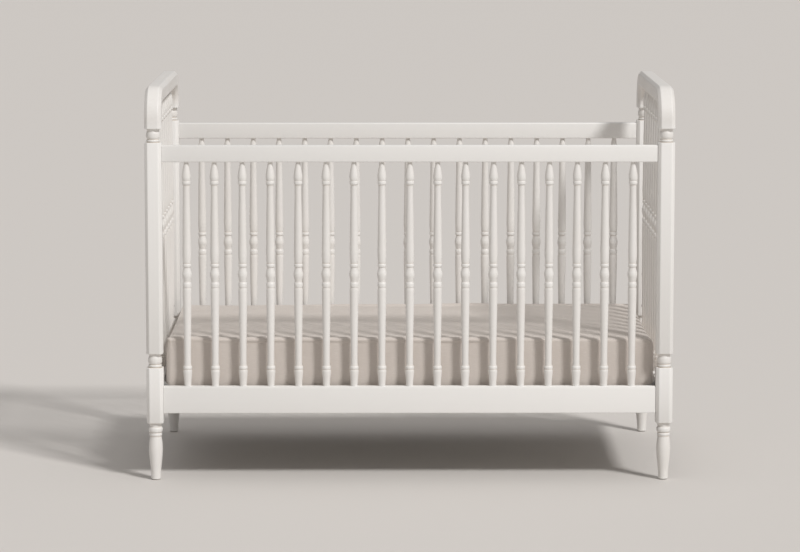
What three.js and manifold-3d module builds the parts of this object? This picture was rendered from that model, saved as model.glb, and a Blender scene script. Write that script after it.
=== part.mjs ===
// A baby crib with turned spindles: four corner posts, two arched ends, two sides, and a height-adjustable
// steel mattress support with a mattress in a fitted sheet. Millimetres. +X runs along the crib's length, +Y
// from the front side to the back side and +Z up. The origin is on the floor under the crib's middle.
import * as THREE from "three";
import { mergeVertices } from "three/addons/utils/BufferGeometryUtils.js";
import Module from "manifold-3d";

const wasm = await Module();
wasm.setup();

// Overall sizes, over the posts.
const CRIB_LENGTH = 1380;
const CRIB_DEPTH = 780;

// Gaps. Wood that is glued or bolted up tight keeps the joint gap.
const JOINT_GAP = 0.3;
const OVERRUN = 1; // how far a cutter runs past what it cuts, and a turning into its block

// Posts: a square bar with chamfered corners, turned between its blocks.
const POST_SIDE = 44;
const POST_CHAMFER = 8;
const POST_END_CHAMFER = 1.5;
const LEG_HEIGHT = 152;
const LOWER_BLOCK_HEIGHT = 147;
const NECK_HEIGHT = 36.5;
const UPPER_BLOCK_HEIGHT = 555.5;
const TOP_NECK_HEIGHT = 35.5;
const FOOT_RADIUS = 12.5;
const TURNING_SHOULDER = 3.4; // from the widest turning to the face of the square block
const TURNING_SIDES = 10;

// Arched ends: the same bar, bent over the end between two posts.
const ARCH_RISE = 107; // from the post's top to the crest
const ARCH_CREST_DEPTH = 46;
const ARCH_SHOULDER_RADIUS = 90;
const ARCH_CURVE_STEPS = 6;

// Rails between the posts.
const RAIL_THICKNESS = 25;
const RAIL_EDGE = 3;
const BOTTOM_RAIL_HEIGHT = 71;
const BOTTOM_RAIL_RISE = 26; // from the bottom of the lower block to the rail's underside
const TOP_RAIL_HEIGHT = 43.5;
const TOP_RAIL_DROP = 7.7; // from the top of the upper block to the rail's top

// Spindles.
const SPINDLE_RADIUS = 12.7; // at its widest, the vase at mid-height
const SPINDLE_SIDES = 8;
const SIDE_SPINDLES = 17;
const SIDE_SPINDLE_MARGIN = 63.5; // from the post's face to the axis of the first spindle
const END_SPINDLES = 8;
const TENON_DEPTH = 12; // how far an end spindle runs into its rail

// Mattress support: an angle-iron frame with a wire deck, hung on a bolt at each post.
const SUPPORT_LEVELS = 4;
const LEVEL_PITCH = 90;
const BOLT_RISE = 26; // from the top of the bottom rail to the lowest bolts
const BOLT_RADIUS = 3;
const BOLT_HEAD_RADIUS = 6.5;
const BOLT_HEAD_HEIGHT = 4;
const BOLT_REACH = 22; // of the thread into the post
const BOLT_CLEARANCE = 0.5; // all round the thread, in the post and in the hanger's slot
const HOLE_SPARE_DEPTH = 2; // of each hole past the thread's end
const HANGER_THICKNESS = 2.5;
const HANGER_POST_GAP = 0.6;
const HANGER_RAIL_GAP = 4; // from the top of the end rail to the hanger's tongue
const HANGER_FOOT_WIDTH = 22;
const HANGER_EDGE = 16; // of plate beside and above the bolt
const HANGER_ARM = 15; // from the bolt's axis to the corner where the arm turns down
const HANGER_ARM_DROP = 19; // from the tongue's end to the foot's outer corner
const FRAME_END_GAP = 2; // from the posts' inner faces to the steel frame
const FRAME_SIDE = 25;
const FRAME_THICKNESS = 2;
const FRAME_DROP = 60; // from the bolts down to the top of the steel frame
const WIRE = 4;
const WIRE_LAP = 1.5; // how far the cross wires are pressed into the long ones
const LONG_WIRES = 7;
const CROSS_WIRES = 15;
const WIRE_END_GAP = 3; // from a wire's end to the frame's outer face

// Mattress and fitted sheet.
const MATTRESS_HEIGHT = 145;
const MATTRESS_CORNER = 25;
const MATTRESS_EDGE = 12;
const MATTRESS_REST_GAP = 2; // room for the sheet's hem under the mattress
const SHEET_THICKNESS = 1.2;
const SHEET_GAP = 0.3; // from the mattress to the sheet
const SHEET_END_GAP = 2; // from the posts' inner faces to the sheet
const SHEET_SIDE_GAP = 1.4; // from the hangers to the sheet

// What follows from them.
const postX = (CRIB_LENGTH - POST_SIDE) / 2;
const postY = (CRIB_DEPTH - POST_SIDE) / 2;
const insideX = postX - POST_SIDE / 2;
const insideY = postY - POST_SIDE / 2;
const lowerBlockZ = LEG_HEIGHT;
const neckZ = lowerBlockZ + LOWER_BLOCK_HEIGHT;
const upperBlockZ = neckZ + NECK_HEIGHT;
const topNeckZ = upperBlockZ + UPPER_BLOCK_HEIGHT;
const postTopZ = topNeckZ + TOP_NECK_HEIGHT;
const crestZ = postTopZ + ARCH_RISE;
const bottomRailZ = lowerBlockZ + BOTTOM_RAIL_RISE;
const bottomRailTopZ = bottomRailZ + BOTTOM_RAIL_HEIGHT;
const topRailZ = topNeckZ - TOP_RAIL_DROP - TOP_RAIL_HEIGHT;
const boltZ = bottomRailTopZ + BOLT_RISE;
const hangerY = insideY - HANGER_POST_GAP - HANGER_THICKNESS / 2;
const frameX = insideX - FRAME_END_GAP;
const frameY = hangerY - HANGER_THICKNESS / 2 - JOINT_GAP;
const frameTopZ = boltZ - FRAME_DROP;
const deckZ = frameTopZ + JOINT_GAP;
const deckTopZ = deckZ + 2 * WIRE - WIRE_LAP;
const mattressZ = deckTopZ + MATTRESS_REST_GAP;
const sheetX = insideX - SHEET_END_GAP;
const sheetY = hangerY - HANGER_THICKNESS / 2 - SHEET_SIDE_GAP;

// A material from its colour, roughness and metalness.
function finish(name, color, roughness, metalness = 0) {
  return new THREE.MeshStandardMaterial({ name, color, roughness, metalness });
}

const painted = finish("painted_wood", 0xe9e6e0, 0.45);
const steel = finish("support_steel", 0xc2c2bf, 0.5, 0.3);
const zinc = finish("bolt_steel", 0xc6c8ca, 0.3, 0.9);
const ticking = finish("mattress_ticking", 0xeeece6, 0.9);
const jersey = finish("sheet_jersey", 0xcdc6bb, 0.95);

// A closed geometry as a solid that can be joined and cut.
function solid(geometry) {
  const bare = geometry.clone();
  bare.deleteAttribute("normal");
  bare.deleteAttribute("uv");
  const merged = mergeVertices(bare, 1e-4);
  return new wasm.Manifold(
    new wasm.Mesh({
      numProp: 3,
      vertProperties: merged.attributes.position.array,
      triVerts: new Uint32Array(merged.index.array),
    }),
  );
}

// A solid back as a geometry.
function geometryOf(made) {
  const mesh = made.getMesh();
  const geometry = new THREE.BufferGeometry();
  geometry.setAttribute("position", new THREE.BufferAttribute(mesh.vertProperties, 3));
  geometry.setIndex(new THREE.BufferAttribute(mesh.triVerts, 1));
  geometry.computeVertexNormals();
  return geometry;
}

function join(first, ...others) {
  return others.reduce((sum, other) => sum.add(other), first);
}

// A box from its lowest and highest corners.
function block(low, high) {
  const size = high.map((value, axis) => value - low[axis]);
  const geometry = new THREE.BoxGeometry(...size);
  geometry.translate(...low.map((value, axis) => value + size[axis] / 2));
  return solid(geometry);
}

// Wood turned about Z, from an outline of [height, radius] pairs that goes upwards.
function turned(outline, sides) {
  const points = outline.map(([height, radius]) => new THREE.Vector2(radius, height));
  points.unshift(new THREE.Vector2(0, outline[0][0]));
  points.push(new THREE.Vector2(0, outline.at(-1)[0]));
  const geometry = new THREE.LatheGeometry(points, sides);
  geometry.rotateX(Math.PI / 2);
  return geometry;
}

// A rectangle about the origin with its four corners cut off.
function chamferedRectangle(width, height, chamfer) {
  const x = width / 2;
  const y = height / 2;
  return new THREE.Shape([
    new THREE.Vector2(-x + chamfer, -y),
    new THREE.Vector2(x - chamfer, -y),
    new THREE.Vector2(x, -y + chamfer),
    new THREE.Vector2(x, y - chamfer),
    new THREE.Vector2(x - chamfer, y),
    new THREE.Vector2(-x + chamfer, y),
    new THREE.Vector2(-x, y - chamfer),
    new THREE.Vector2(-x, -y + chamfer),
  ]);
}

// Turns a shape drawn in Y and Z and extruded from 0 so that it runs along X.
function layAlongX(geometry) {
  const x = new THREE.Vector3(1, 0, 0);
  const y = new THREE.Vector3(0, 1, 0);
  const z = new THREE.Vector3(0, 0, 1);
  return geometry.applyMatrix4(new THREE.Matrix4().makeBasis(y, z, x));
}

// A flat rail about the origin, along X, with its long edges eased.
function railGeometry(length, height) {
  const section = chamferedRectangle(RAIL_THICKNESS, height, RAIL_EDGE);
  const geometry = new THREE.ExtrudeGeometry(section, { depth: length, bevelEnabled: false });
  geometry.translate(0, 0, -length / 2);
  return layAlongX(geometry);
}

// One square block of a post, with small chamfers at its two ends.
function postBlock(low, high) {
  const section = chamferedRectangle(POST_SIDE, POST_SIDE, POST_CHAMFER);
  const geometry = new THREE.ExtrudeGeometry(section, {
    depth: high - low - 2 * POST_END_CHAMFER,
    bevelThickness: POST_END_CHAMFER,
    bevelSize: POST_END_CHAMFER,
    bevelOffset: -POST_END_CHAMFER,
    bevelSegments: 1,
  });
  geometry.translate(0, 0, low + POST_END_CHAMFER);
  return solid(geometry);
}

// The tapered foot: a slim vase, a thin ring and a bead under the block. Heights are shares of the leg's.
function legOutline() {
  const wide = POST_SIDE / 2 - TURNING_SHOULDER;
  return [
    [0, FOOT_RADIUS],
    [0.16 * LEG_HEIGHT, FOOT_RADIUS + 1.5],
    [0.34 * LEG_HEIGHT, FOOT_RADIUS + 4],
    [0.55 * LEG_HEIGHT, wide],
    [0.75 * LEG_HEIGHT, wide - 2.6],
    [0.79 * LEG_HEIGHT, wide - 1.6],
    [0.82 * LEG_HEIGHT, wide - 3.1],
    [0.9 * LEG_HEIGHT, wide - 0.6],
    [0.97 * LEG_HEIGHT, wide - 2.6],
    [LEG_HEIGHT + OVERRUN, wide - 2.6],
  ];
}

// The neck between two blocks: a thin ring at the bottom, a cove, and a round swelling under the upper block.
function neckOutline(low, height, topOverrun) {
  const wide = POST_SIDE / 2 - TURNING_SHOULDER;
  return [
    [low - OVERRUN, wide - 3.1],
    [low + 0.05 * height, wide - 3.1],
    [low + 0.17 * height, wide - 1],
    [low + 0.3 * height, wide - 2.6],
    [low + 0.46 * height, wide - 1.2],
    [low + 0.64 * height, wide],
    [low + 0.85 * height, wide - 0.6],
    [low + height + topOverrun, wide - 1.6],
  ];
}

// A corner post, standing on the origin. Its bolt holes are in the face towards +Y.
function postGeometry() {
  const inserts = Array.from({ length: SUPPORT_LEVELS }, (_, level) => {
    const depth = BOLT_REACH + HOLE_SPARE_DEPTH + OVERRUN;
    const radius = BOLT_RADIUS + BOLT_CLEARANCE;
    const hole = new THREE.CylinderGeometry(radius, radius, depth, 8);
    hole.translate(0, POST_SIDE / 2 + OVERRUN - depth / 2, boltZ + level * LEVEL_PITCH);
    return solid(hole);
  });
  const bar = join(
    solid(turned(legOutline(), TURNING_SIDES)),
    postBlock(lowerBlockZ, neckZ),
    solid(turned(neckOutline(neckZ, NECK_HEIGHT, OVERRUN), TURNING_SIDES)),
    postBlock(upperBlockZ, topNeckZ),
    solid(turned(neckOutline(topNeckZ, TOP_NECK_HEIGHT, 0), TURNING_SIDES)),
  );
  return geometryOf(inserts.reduce((post, hole) => post.subtract(hole), bar));
}

// The arch over one end, drawn in Y and Z with Z from the post's top, and extruded along X.
function archGeometry() {
  const outer = CRIB_DEPTH / 2;
  const inner = outer - POST_SIDE;
  const top = ARCH_RISE;
  const under = ARCH_RISE - ARCH_CREST_DEPTH;
  const radius = ARCH_SHOULDER_RADIUS;
  const innerRadius = radius - ARCH_CREST_DEPTH;
  const low = -2 * POST_CHAMFER; // the chamfered foot of the extrusion, which is then cut off square
  const outline = new THREE.Shape();
  outline.moveTo(outer, low);
  outline.lineTo(outer, top - radius);
  outline.absarc(outer - radius, top - radius, radius, 0, Math.PI / 2);
  outline.lineTo(radius - outer, top);
  outline.absarc(radius - outer, top - radius, radius, Math.PI / 2, Math.PI);
  outline.lineTo(-outer, low);
  outline.lineTo(-inner, low);
  outline.lineTo(-inner, under - innerRadius);
  outline.absarc(innerRadius - inner, under - innerRadius, innerRadius, Math.PI, Math.PI / 2, true);
  outline.lineTo(inner - innerRadius, under);
  outline.absarc(inner - innerRadius, under - innerRadius, innerRadius, Math.PI / 2, 0, true);
  outline.lineTo(inner, low);
  outline.closePath();
  const geometry = new THREE.ExtrudeGeometry(outline, {
    depth: POST_SIDE - 2 * POST_CHAMFER,
    curveSegments: ARCH_CURVE_STEPS,
    bevelThickness: POST_CHAMFER,
    bevelSize: POST_CHAMFER,
    bevelOffset: -POST_CHAMFER,
    bevelSegments: 1,
  });
  geometry.translate(0, 0, POST_CHAMFER - POST_SIDE / 2);
  const far = outer + OVERRUN;
  const waste = block([-POST_SIDE, -far, low - OVERRUN], [POST_SIDE, far, JOINT_GAP]);
  return geometryOf(solid(layAlongX(geometry)).subtract(waste));
}

// A spindle's outline from 0 to its length, as [height, share of the widest radius]. The foot, the vase at
// mid-height and the bud under the top rail keep their size, and the plain shafts take up the length.
function spindleOutline(length) {
  const middle = length / 2;
  return [
    [0, 0.69],
    [40, 0.945],
    [54, 0.75],
    [middle - 39, 0.905],
    [middle - 20, 0.75],
    [middle - 4, 1],
    [middle + 19, 0.67],
    [middle + 68, 0.925],
    [length - 60, 0.71],
    [length - 42, 0.905],
    [length, 0.47],
  ].map(([height, share]) => [height, share * SPINDLE_RADIUS]);
}

// One end's rail and spindles, glued up as a comb, along X with the rail's middle at the origin.
function endCombGeometry(length) {
  const railTop = BOTTOM_RAIL_HEIGHT / 2;
  const spindleLength = crestZ - ARCH_CREST_DEPTH - bottomRailTopZ - JOINT_GAP;
  const [[, footRadius]] = spindleOutline(spindleLength);
  const outline = spindleOutline(spindleLength).map(([height, radius]) => [height + railTop, radius]);
  outline.unshift([railTop - TENON_DEPTH, footRadius]);
  const pitch = length / (END_SPINDLES + 1);
  const spindles = Array.from({ length: END_SPINDLES }, (_, i) => {
    const spindle = turned(outline, SPINDLE_SIDES);
    spindle.translate((i + 1) * pitch - length / 2, 0, 0);
    return solid(spindle);
  });
  return geometryOf(join(solid(railGeometry(length, BOTTOM_RAIL_HEIGHT)), ...spindles));
}

// A corner hanger, for the +X end, drawn in X and Z with the middle of its bolt on the origin. The slot is
// open below, so the support lifts off its bolts.
function hangerGeometry() {
  const slot = BOLT_RADIUS + BOLT_CLEARANCE;
  const tongueLow = bottomRailTopZ + HANGER_RAIL_GAP - boltZ;
  const footLow = -FRAME_DROP - FRAME_SIDE;
  const footOut = frameX - postX;
  const footIn = footOut - HANGER_FOOT_WIDTH;
  const armIn = insideX - postX;
  const outline = new THREE.Shape();
  outline.moveTo(footIn, footLow);
  outline.lineTo(footOut, footLow);
  outline.lineTo(footOut, tongueLow - HANGER_ARM_DROP);
  outline.lineTo(-HANGER_ARM, tongueLow);
  outline.lineTo(-slot, tongueLow);
  outline.lineTo(-slot, 0);
  outline.absarc(0, 0, slot, Math.PI, 0, true);
  outline.lineTo(slot, tongueLow);
  outline.lineTo(HANGER_EDGE, tongueLow);
  outline.lineTo(HANGER_EDGE, HANGER_EDGE - POST_CHAMFER);
  outline.lineTo(HANGER_EDGE - POST_CHAMFER, HANGER_EDGE);
  outline.lineTo(armIn, HANGER_EDGE);
  outline.lineTo(armIn, -HANGER_EDGE);
  outline.lineTo(footIn, -HANGER_EDGE + footIn - armIn);
  outline.closePath();
  const geometry = new THREE.ExtrudeGeometry(outline, {
    depth: HANGER_THICKNESS,
    curveSegments: 4,
    bevelEnabled: false,
  });
  geometry.translate(0, 0, -HANGER_THICKNESS / 2);
  geometry.rotateX(Math.PI / 2);
  return geometry;
}

// The angle-iron frame, with its top at 0: a flat flange inwards and a wall downwards.
function supportFrameGeometry() {
  const bar = block([-frameX, -frameY, -FRAME_SIDE], [frameX, frameY, 0]);
  const under = block(
    [FRAME_THICKNESS - frameX, FRAME_THICKNESS - frameY, -FRAME_SIDE - OVERRUN],
    [frameX - FRAME_THICKNESS, frameY - FRAME_THICKNESS, -FRAME_THICKNESS],
  );
  const opening = block(
    [FRAME_SIDE - frameX, FRAME_SIDE - frameY, -FRAME_SIDE - OVERRUN],
    [frameX - FRAME_SIDE, frameY - FRAME_SIDE, OVERRUN],
  );
  return geometryOf(bar.subtract(under).subtract(opening));
}

// The welded wire deck, from 0 up: long wires, and cross wires pressed into their tops.
function deckGeometry() {
  const endX = frameX - WIRE_END_GAP;
  const endY = frameY - WIRE_END_GAP;
  const long = Array.from({ length: LONG_WIRES }, (_, i) => {
    const y = (endY - WIRE) * ((2 * i) / (LONG_WIRES - 1) - 1);
    return block([-endX, y - WIRE / 2, 0], [endX, y + WIRE / 2, WIRE]);
  });
  const crossZ = WIRE - WIRE_LAP;
  const cross = Array.from({ length: CROSS_WIRES }, (_, i) => {
    const x = (endX - WIRE) * ((2 * i) / (CROSS_WIRES - 1) - 1);
    return block([x - WIRE / 2, -endY, crossZ], [x + WIRE / 2, endY, crossZ + WIRE]);
  });
  return geometryOf(join(...long, ...cross));
}

// A support bolt, along +Y from the flat of its head, which is at the origin.
function boltGeometry() {
  const head = BOLT_HEAD_HEIGHT;
  const end = head + JOINT_GAP + HANGER_THICKNESS + HANGER_POST_GAP + BOLT_REACH;
  const points = [
    [0, 0],
    [BOLT_HEAD_RADIUS - 1, 0],
    [BOLT_HEAD_RADIUS, 1],
    [BOLT_HEAD_RADIUS, head],
    [BOLT_RADIUS, head],
    [BOLT_RADIUS, end],
    [0, end],
  ].map(([radius, along]) => new THREE.Vector2(radius, along));
  return new THREE.LatheGeometry(points, 8);
}

// A block of foam with round corners and eased edges, from 0 up. The growth is added on every side.
function cushionGeometry(growth) {
  const x = sheetX - SHEET_THICKNESS - SHEET_GAP + growth;
  const y = sheetY - SHEET_THICKNESS - SHEET_GAP + growth;
  const radius = MATTRESS_CORNER + growth;
  const edge = MATTRESS_EDGE + growth;
  const outline = new THREE.Shape();
  outline.moveTo(x, radius - y);
  outline.lineTo(x, y - radius);
  outline.absarc(x - radius, y - radius, radius, 0, Math.PI / 2);
  outline.lineTo(radius - x, y);
  outline.absarc(radius - x, y - radius, radius, Math.PI / 2, Math.PI);
  outline.lineTo(-x, radius - y);
  outline.absarc(radius - x, radius - y, radius, Math.PI, 1.5 * Math.PI);
  outline.lineTo(x - radius, -y);
  outline.absarc(x - radius, radius - y, radius, 1.5 * Math.PI, 2 * Math.PI);
  const geometry = new THREE.ExtrudeGeometry(outline, {
    depth: MATTRESS_HEIGHT + 2 * growth - 2 * edge,
    curveSegments: 4,
    bevelThickness: edge,
    bevelSize: edge,
    bevelOffset: -edge,
    bevelSegments: 2,
  });
  geometry.translate(0, 0, edge - growth);
  return geometry;
}

// The fitted sheet over the mattress, cut off above the mattress's bottom edge.
function sheetGeometry() {
  const outer = solid(cushionGeometry(SHEET_GAP + SHEET_THICKNESS));
  const inner = solid(cushionGeometry(SHEET_GAP));
  const waste = block([-sheetX, -sheetY, -MATTRESS_EDGE], [sheetX, sheetY, MATTRESS_EDGE]);
  return geometryOf(outer.subtract(inner).subtract(waste));
}

function part(parent, name, geometry, material, position, turn = 0) {
  const mesh = new THREE.Mesh(geometry, material);
  mesh.name = name;
  mesh.position.set(...position);
  mesh.rotation.z = turn;
  parent.add(mesh);
}

const crib = new THREE.Group();
const woodwork = new THREE.Group();
const support = new THREE.Group();
const bedding = new THREE.Group();
crib.add(woodwork, support, bedding);

const sides = [
  ["front", -1],
  ["back", 1],
];
const ends = [
  ["left", -1],
  ["right", 1],
];

// Posts. A back post is turned round, so that its bolt holes face the front.
const post = postGeometry();
for (const [side, sy] of sides) {
  for (const [end, sx] of ends) {
    const turn = sy > 0 ? Math.PI : 0;
    part(woodwork, `${side}_${end}_post`, post, painted, [sx * postX, sy * postY, 0], turn);
  }
}

// Ends: an arch on the two posts, and a comb of rail and spindles under it.
const arch = archGeometry();
const endComb = endCombGeometry(2 * (insideY - JOINT_GAP));
const bottomRailMiddle = bottomRailZ + BOTTOM_RAIL_HEIGHT / 2;
for (const [end, sx] of ends) {
  part(woodwork, `${end}_end_arch`, arch, painted, [sx * postX, 0, postTopZ]);
  const combPlace = [sx * postX, 0, bottomRailMiddle];
  part(woodwork, `${end}_end_rail_and_spindles`, endComb, painted, combPlace, Math.PI / 2);
}

// Sides: two rails with the spindles between them.
const sideRailLength = 2 * (insideX - JOINT_GAP);
const topRail = railGeometry(sideRailLength, TOP_RAIL_HEIGHT);
const bottomRail = railGeometry(sideRailLength, BOTTOM_RAIL_HEIGHT);
const sideSpindle = turned(spindleOutline(topRailZ - bottomRailTopZ - 2 * JOINT_GAP), SPINDLE_SIDES);
const firstSpindleX = insideX - SIDE_SPINDLE_MARGIN;
for (const [side, sy] of sides) {
  const y = sy * postY;
  part(woodwork, `${side}_top_rail`, topRail, painted, [0, y, topRailZ + TOP_RAIL_HEIGHT / 2]);
  part(woodwork, `${side}_bottom_rail`, bottomRail, painted, [0, y, bottomRailMiddle]);
  for (let i = 0; i < SIDE_SPINDLES; i += 1) {
    const x = firstSpindleX * ((2 * i) / (SIDE_SPINDLES - 1) - 1);
    const name = `${side}_spindle_${String(i + 1).padStart(2, "0")}`;
    part(woodwork, name, sideSpindle, painted, [x, y, bottomRailTopZ + JOINT_GAP]);
  }
}

// Mattress support. A hanger and a bolt are turned round for the other end or side.
part(support, "support_frame", supportFrameGeometry(), steel, [0, 0, frameTopZ]);
part(support, "wire_deck", deckGeometry(), steel, [0, 0, deckZ]);
const hanger = hangerGeometry();
const bolt = boltGeometry();
const boltHeadY = hangerY - HANGER_THICKNESS / 2 - JOINT_GAP - BOLT_HEAD_HEIGHT;
for (const [side, sy] of sides) {
  for (const [end, sx] of ends) {
    const hangerTurn = sx < 0 ? Math.PI : 0;
    const boltTurn = sy < 0 ? Math.PI : 0;
    const corner = `${side}_${end}`;
    part(support, `${corner}_hanger`, hanger, steel, [sx * postX, sy * hangerY, boltZ], hangerTurn);
    part(support, `${corner}_support_bolt`, bolt, zinc, [sx * postX, sy * boltHeadY, boltZ], boltTurn);
  }
}

part(bedding, "mattress", cushionGeometry(0), ticking, [0, 0, mattressZ]);
part(bedding, "fitted_sheet", sheetGeometry(), jersey, [0, 0, mattressZ]);

export default crib;
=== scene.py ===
# %% [markdown]
# # A painted spindle crib
# This is a full-size baby crib. Four corner posts are turned between square blocks, an arched bar joins the
# two posts at each end, and turned spindles fill the ends and the two long sides. Inside hangs a steel
# mattress support that can be bolted at four heights, with a foam mattress in a fitted sheet. The frame
# that is loaded first holds every part at its real size and place as a plain faceted solid. The script
# makes the fine surface of each part in the same place, and then its finish.

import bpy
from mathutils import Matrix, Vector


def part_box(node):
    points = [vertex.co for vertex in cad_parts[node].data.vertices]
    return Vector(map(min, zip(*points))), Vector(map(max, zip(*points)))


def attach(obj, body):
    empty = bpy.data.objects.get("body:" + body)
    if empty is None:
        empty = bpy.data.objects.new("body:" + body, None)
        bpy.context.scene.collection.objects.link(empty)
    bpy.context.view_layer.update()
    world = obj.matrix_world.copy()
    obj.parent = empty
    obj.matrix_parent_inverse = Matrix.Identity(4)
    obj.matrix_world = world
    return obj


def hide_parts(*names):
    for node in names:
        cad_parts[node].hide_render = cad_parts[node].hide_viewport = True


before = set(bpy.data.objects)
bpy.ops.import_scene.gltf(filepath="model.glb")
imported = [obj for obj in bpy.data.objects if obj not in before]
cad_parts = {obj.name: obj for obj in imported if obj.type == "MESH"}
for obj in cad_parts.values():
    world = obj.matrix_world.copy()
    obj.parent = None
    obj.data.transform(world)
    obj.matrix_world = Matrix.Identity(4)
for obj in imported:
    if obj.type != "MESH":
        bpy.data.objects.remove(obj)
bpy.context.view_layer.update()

# %% Tools and units
import math

import bmesh
import bpy
from mathutils import Matrix, Vector, geometry, noise

MM = 0.001
FULL_TURN = 2 * math.pi
SIDES = {"front": -1, "back": 1}
ENDS = {"left": -1, "right": 1}
print("one unit is a metre, so a millimetre is", MM)

# %% [markdown]
# A piece of furniture looks true to its proportions from far away through a long lens, from a little above
# the mattress, so that both long sides show. The camera is set once, and nothing else in the script reads
# it.

# %% Camera
LENS = 149.2
EYE = (-0.063, -8.974, 1.624)
LOOKING_DOWN = math.radians(7.18)
LOOKING_RIGHT = math.radians(0.25)

eye = bpy.data.cameras.new("camera")
eye.lens = LENS
camera = bpy.data.objects.new("camera", eye)
camera.location = EYE
camera.rotation_euler = (math.pi / 2 - LOOKING_DOWN, 0, -LOOKING_RIGHT)
bpy.context.scene.collection.objects.link(camera)
bpy.context.scene.camera = camera
print("camera", tuple(camera.location), "lens", eye.lens)

# %% [markdown]
# White paint shows its shape only through shade, so the light matters as much as the paint. One large soft
# key light stands to the right and in front, high enough to put a shadow beside each spindle, and the pale
# sky and the pale floor fill the shaded sides. A second one hangs overhead and is so wide that it casts no
# shadow edge. A sun lamp with a wide disc does the work of a big softbox, because it lights a floor of any
# size evenly. The colours are kept plain with the Standard view.

# %% Floor and light
FLOOR_REACH = 90
KEY_TURN = math.radians(39)
KEY_HEIGHT = math.radians(44)
KEY_STRENGTH = 2.15
KEY_DISC = math.radians(10)
SKY_STRENGTH = 0.27
TOP_STRENGTH = 0.55
TOP_DISC = math.radians(100)


def plain_finish(name, colour, roughness):
    """A finish of one colour, for the floor only."""
    material = bpy.data.materials.new(name)
    material.use_nodes = True
    shader = material.node_tree.nodes["Principled BSDF"]
    shader.inputs["Base Color"].default_value = (*colour, 1)
    shader.inputs["Roughness"].default_value = roughness
    return material


ground = bmesh.new()
bmesh.ops.create_grid(ground, x_segments=1, y_segments=1, size=FLOOR_REACH)
floor_mesh = bpy.data.meshes.new("floor")
ground.to_mesh(floor_mesh)
ground.free()
floor_mesh.materials.append(plain_finish("pale_floor", (0.68, 0.65, 0.62), 0.8))
floor = bpy.data.objects.new("floor", floor_mesh)
bpy.context.scene.collection.objects.link(floor)

sky = bpy.data.worlds.new("pale_sky")
sky.use_nodes = True
sky.node_tree.nodes["Background"].inputs["Color"].default_value = (1.0, 0.97, 0.95, 1)
sky.node_tree.nodes["Background"].inputs["Strength"].default_value = SKY_STRENGTH
bpy.context.scene.world = sky


def sun(name, strength, disc, height, turn):
    lamp = bpy.data.lights.new(name, "SUN")
    lamp.energy = strength
    lamp.angle = disc
    lamp.color = (1.0, 0.99, 0.98)
    light = bpy.data.objects.new(name, lamp)
    light.rotation_euler = (math.pi / 2 - height, 0, turn)
    bpy.context.scene.collection.objects.link(light)


sun("key", KEY_STRENGTH, KEY_DISC, KEY_HEIGHT, KEY_TURN)
sun("overhead", TOP_STRENGTH, TOP_DISC, math.pi / 2, 0)
bpy.context.scene.view_settings.view_transform = "Standard"
print("key light", round(math.degrees(KEY_TURN)), "degrees to the right")

# %% [markdown]
# Finishes are made of nodes, and nodes are easier to read as sums. `Value` wraps the output of a node so
# that `+`, `-` and `*` add Math nodes, and `Finish` holds one material and adds every other node with one
# method.

# %% A small language for finishes


class Value:
    """The output of a node, which can be used in sums."""

    def __init__(self, finish, socket):
        self.finish = finish
        self.socket = socket

    def sum(self, operation, first, second):
        return self.finish.add("ShaderNodeMath", {"operation": operation}, {0: first, 1: second})

    def __add__(self, other):
        return self.sum("ADD", self, other)

    def __sub__(self, other):
        return self.sum("SUBTRACT", self, other)

    def __rsub__(self, other):
        return self.sum("SUBTRACT", other, self)

    def __mul__(self, other):
        return self.sum("MULTIPLY", self, other)

    __radd__ = __add__
    __rmul__ = __mul__


class Finish:
    """One material and its Principled shader."""

    def __init__(self, name):
        self.material = bpy.data.materials.new(name)
        self.material.use_nodes = True
        self.nodes = self.material.node_tree.nodes
        self.shader = self.nodes["Principled BSDF"]

    def feed(self, socket, value):
        """Links a Value to a socket, or sets a plain value on it."""
        if isinstance(value, Value):
            self.material.node_tree.links.new(value.socket, socket)
        else:
            socket.default_value = value

    def add(self, kind, settings=None, sockets=None, output=0):
        """Adds a node: its settings first, then its sockets. A ramp's stops are (place, colour) pairs."""
        node = self.nodes.new(kind)
        for name, value in (settings or {}).items():
            if name == "stops":
                for at, colour in value[2:]:
                    node.color_ramp.elements.new(at).color = colour
                in_order = sorted(node.color_ramp.elements, key=lambda e: e.position)
                for element, (at, colour) in zip(in_order, value):
                    element.position = at
                    element.color = colour
            else:
                setattr(node, name, value)
        for name, value in (sockets or {}).items():
            self.feed(node.inputs[name], value)
        return Value(self, node.outputs[output])

    def place(self, scale):
        """Object coordinates, stretched by scale along each axis."""
        here = self.add("ShaderNodeTexCoord", output="Object")
        return self.add("ShaderNodeMapping", sockets={"Vector": here, "Scale": scale})

    def noise(self, place, detail=2.0, roughness=0.5, distortion=0.0):
        sockets = {"Vector": place, "Scale": 1.0, "Detail": detail}
        sockets.update({"Roughness": roughness, "Distortion": distortion})
        return self.add("ShaderNodeTexNoise", sockets=sockets)

    def range(self, value, low, high, out_low=0.0, out_high=1.0):
        """Spreads value, from low to high, over another range, and keeps it inside."""
        sockets = {"Value": value, "From Min": low, "From Max": high, "To Min": out_low, "To Max": out_high}
        return self.add("ShaderNodeMapRange", {"clamp": True}, sockets)

    def mix(self, share, first, second):
        """A colour between two colours."""
        sockets = {0: share, 6: first, 7: second}
        return self.add("ShaderNodeMix", {"data_type": "RGBA"}, sockets, output=2)

    def bump(self, height, distance, strength=1.0):
        sockets = {"Height": height, "Distance": distance, "Strength": strength}
        return self.add("ShaderNodeBump", sockets=sockets)

    def set(self, **sockets):
        """Feeds the shader's own sockets; a name is the socket's, with _ for a space."""
        for name, value in sockets.items():
            self.feed(self.shader.inputs[name.replace("_", " ")], value)
        return self.material


print("a finish feeds", len([n for n in dir(Finish) if not n.startswith("_")]), "kinds of call")

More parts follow.
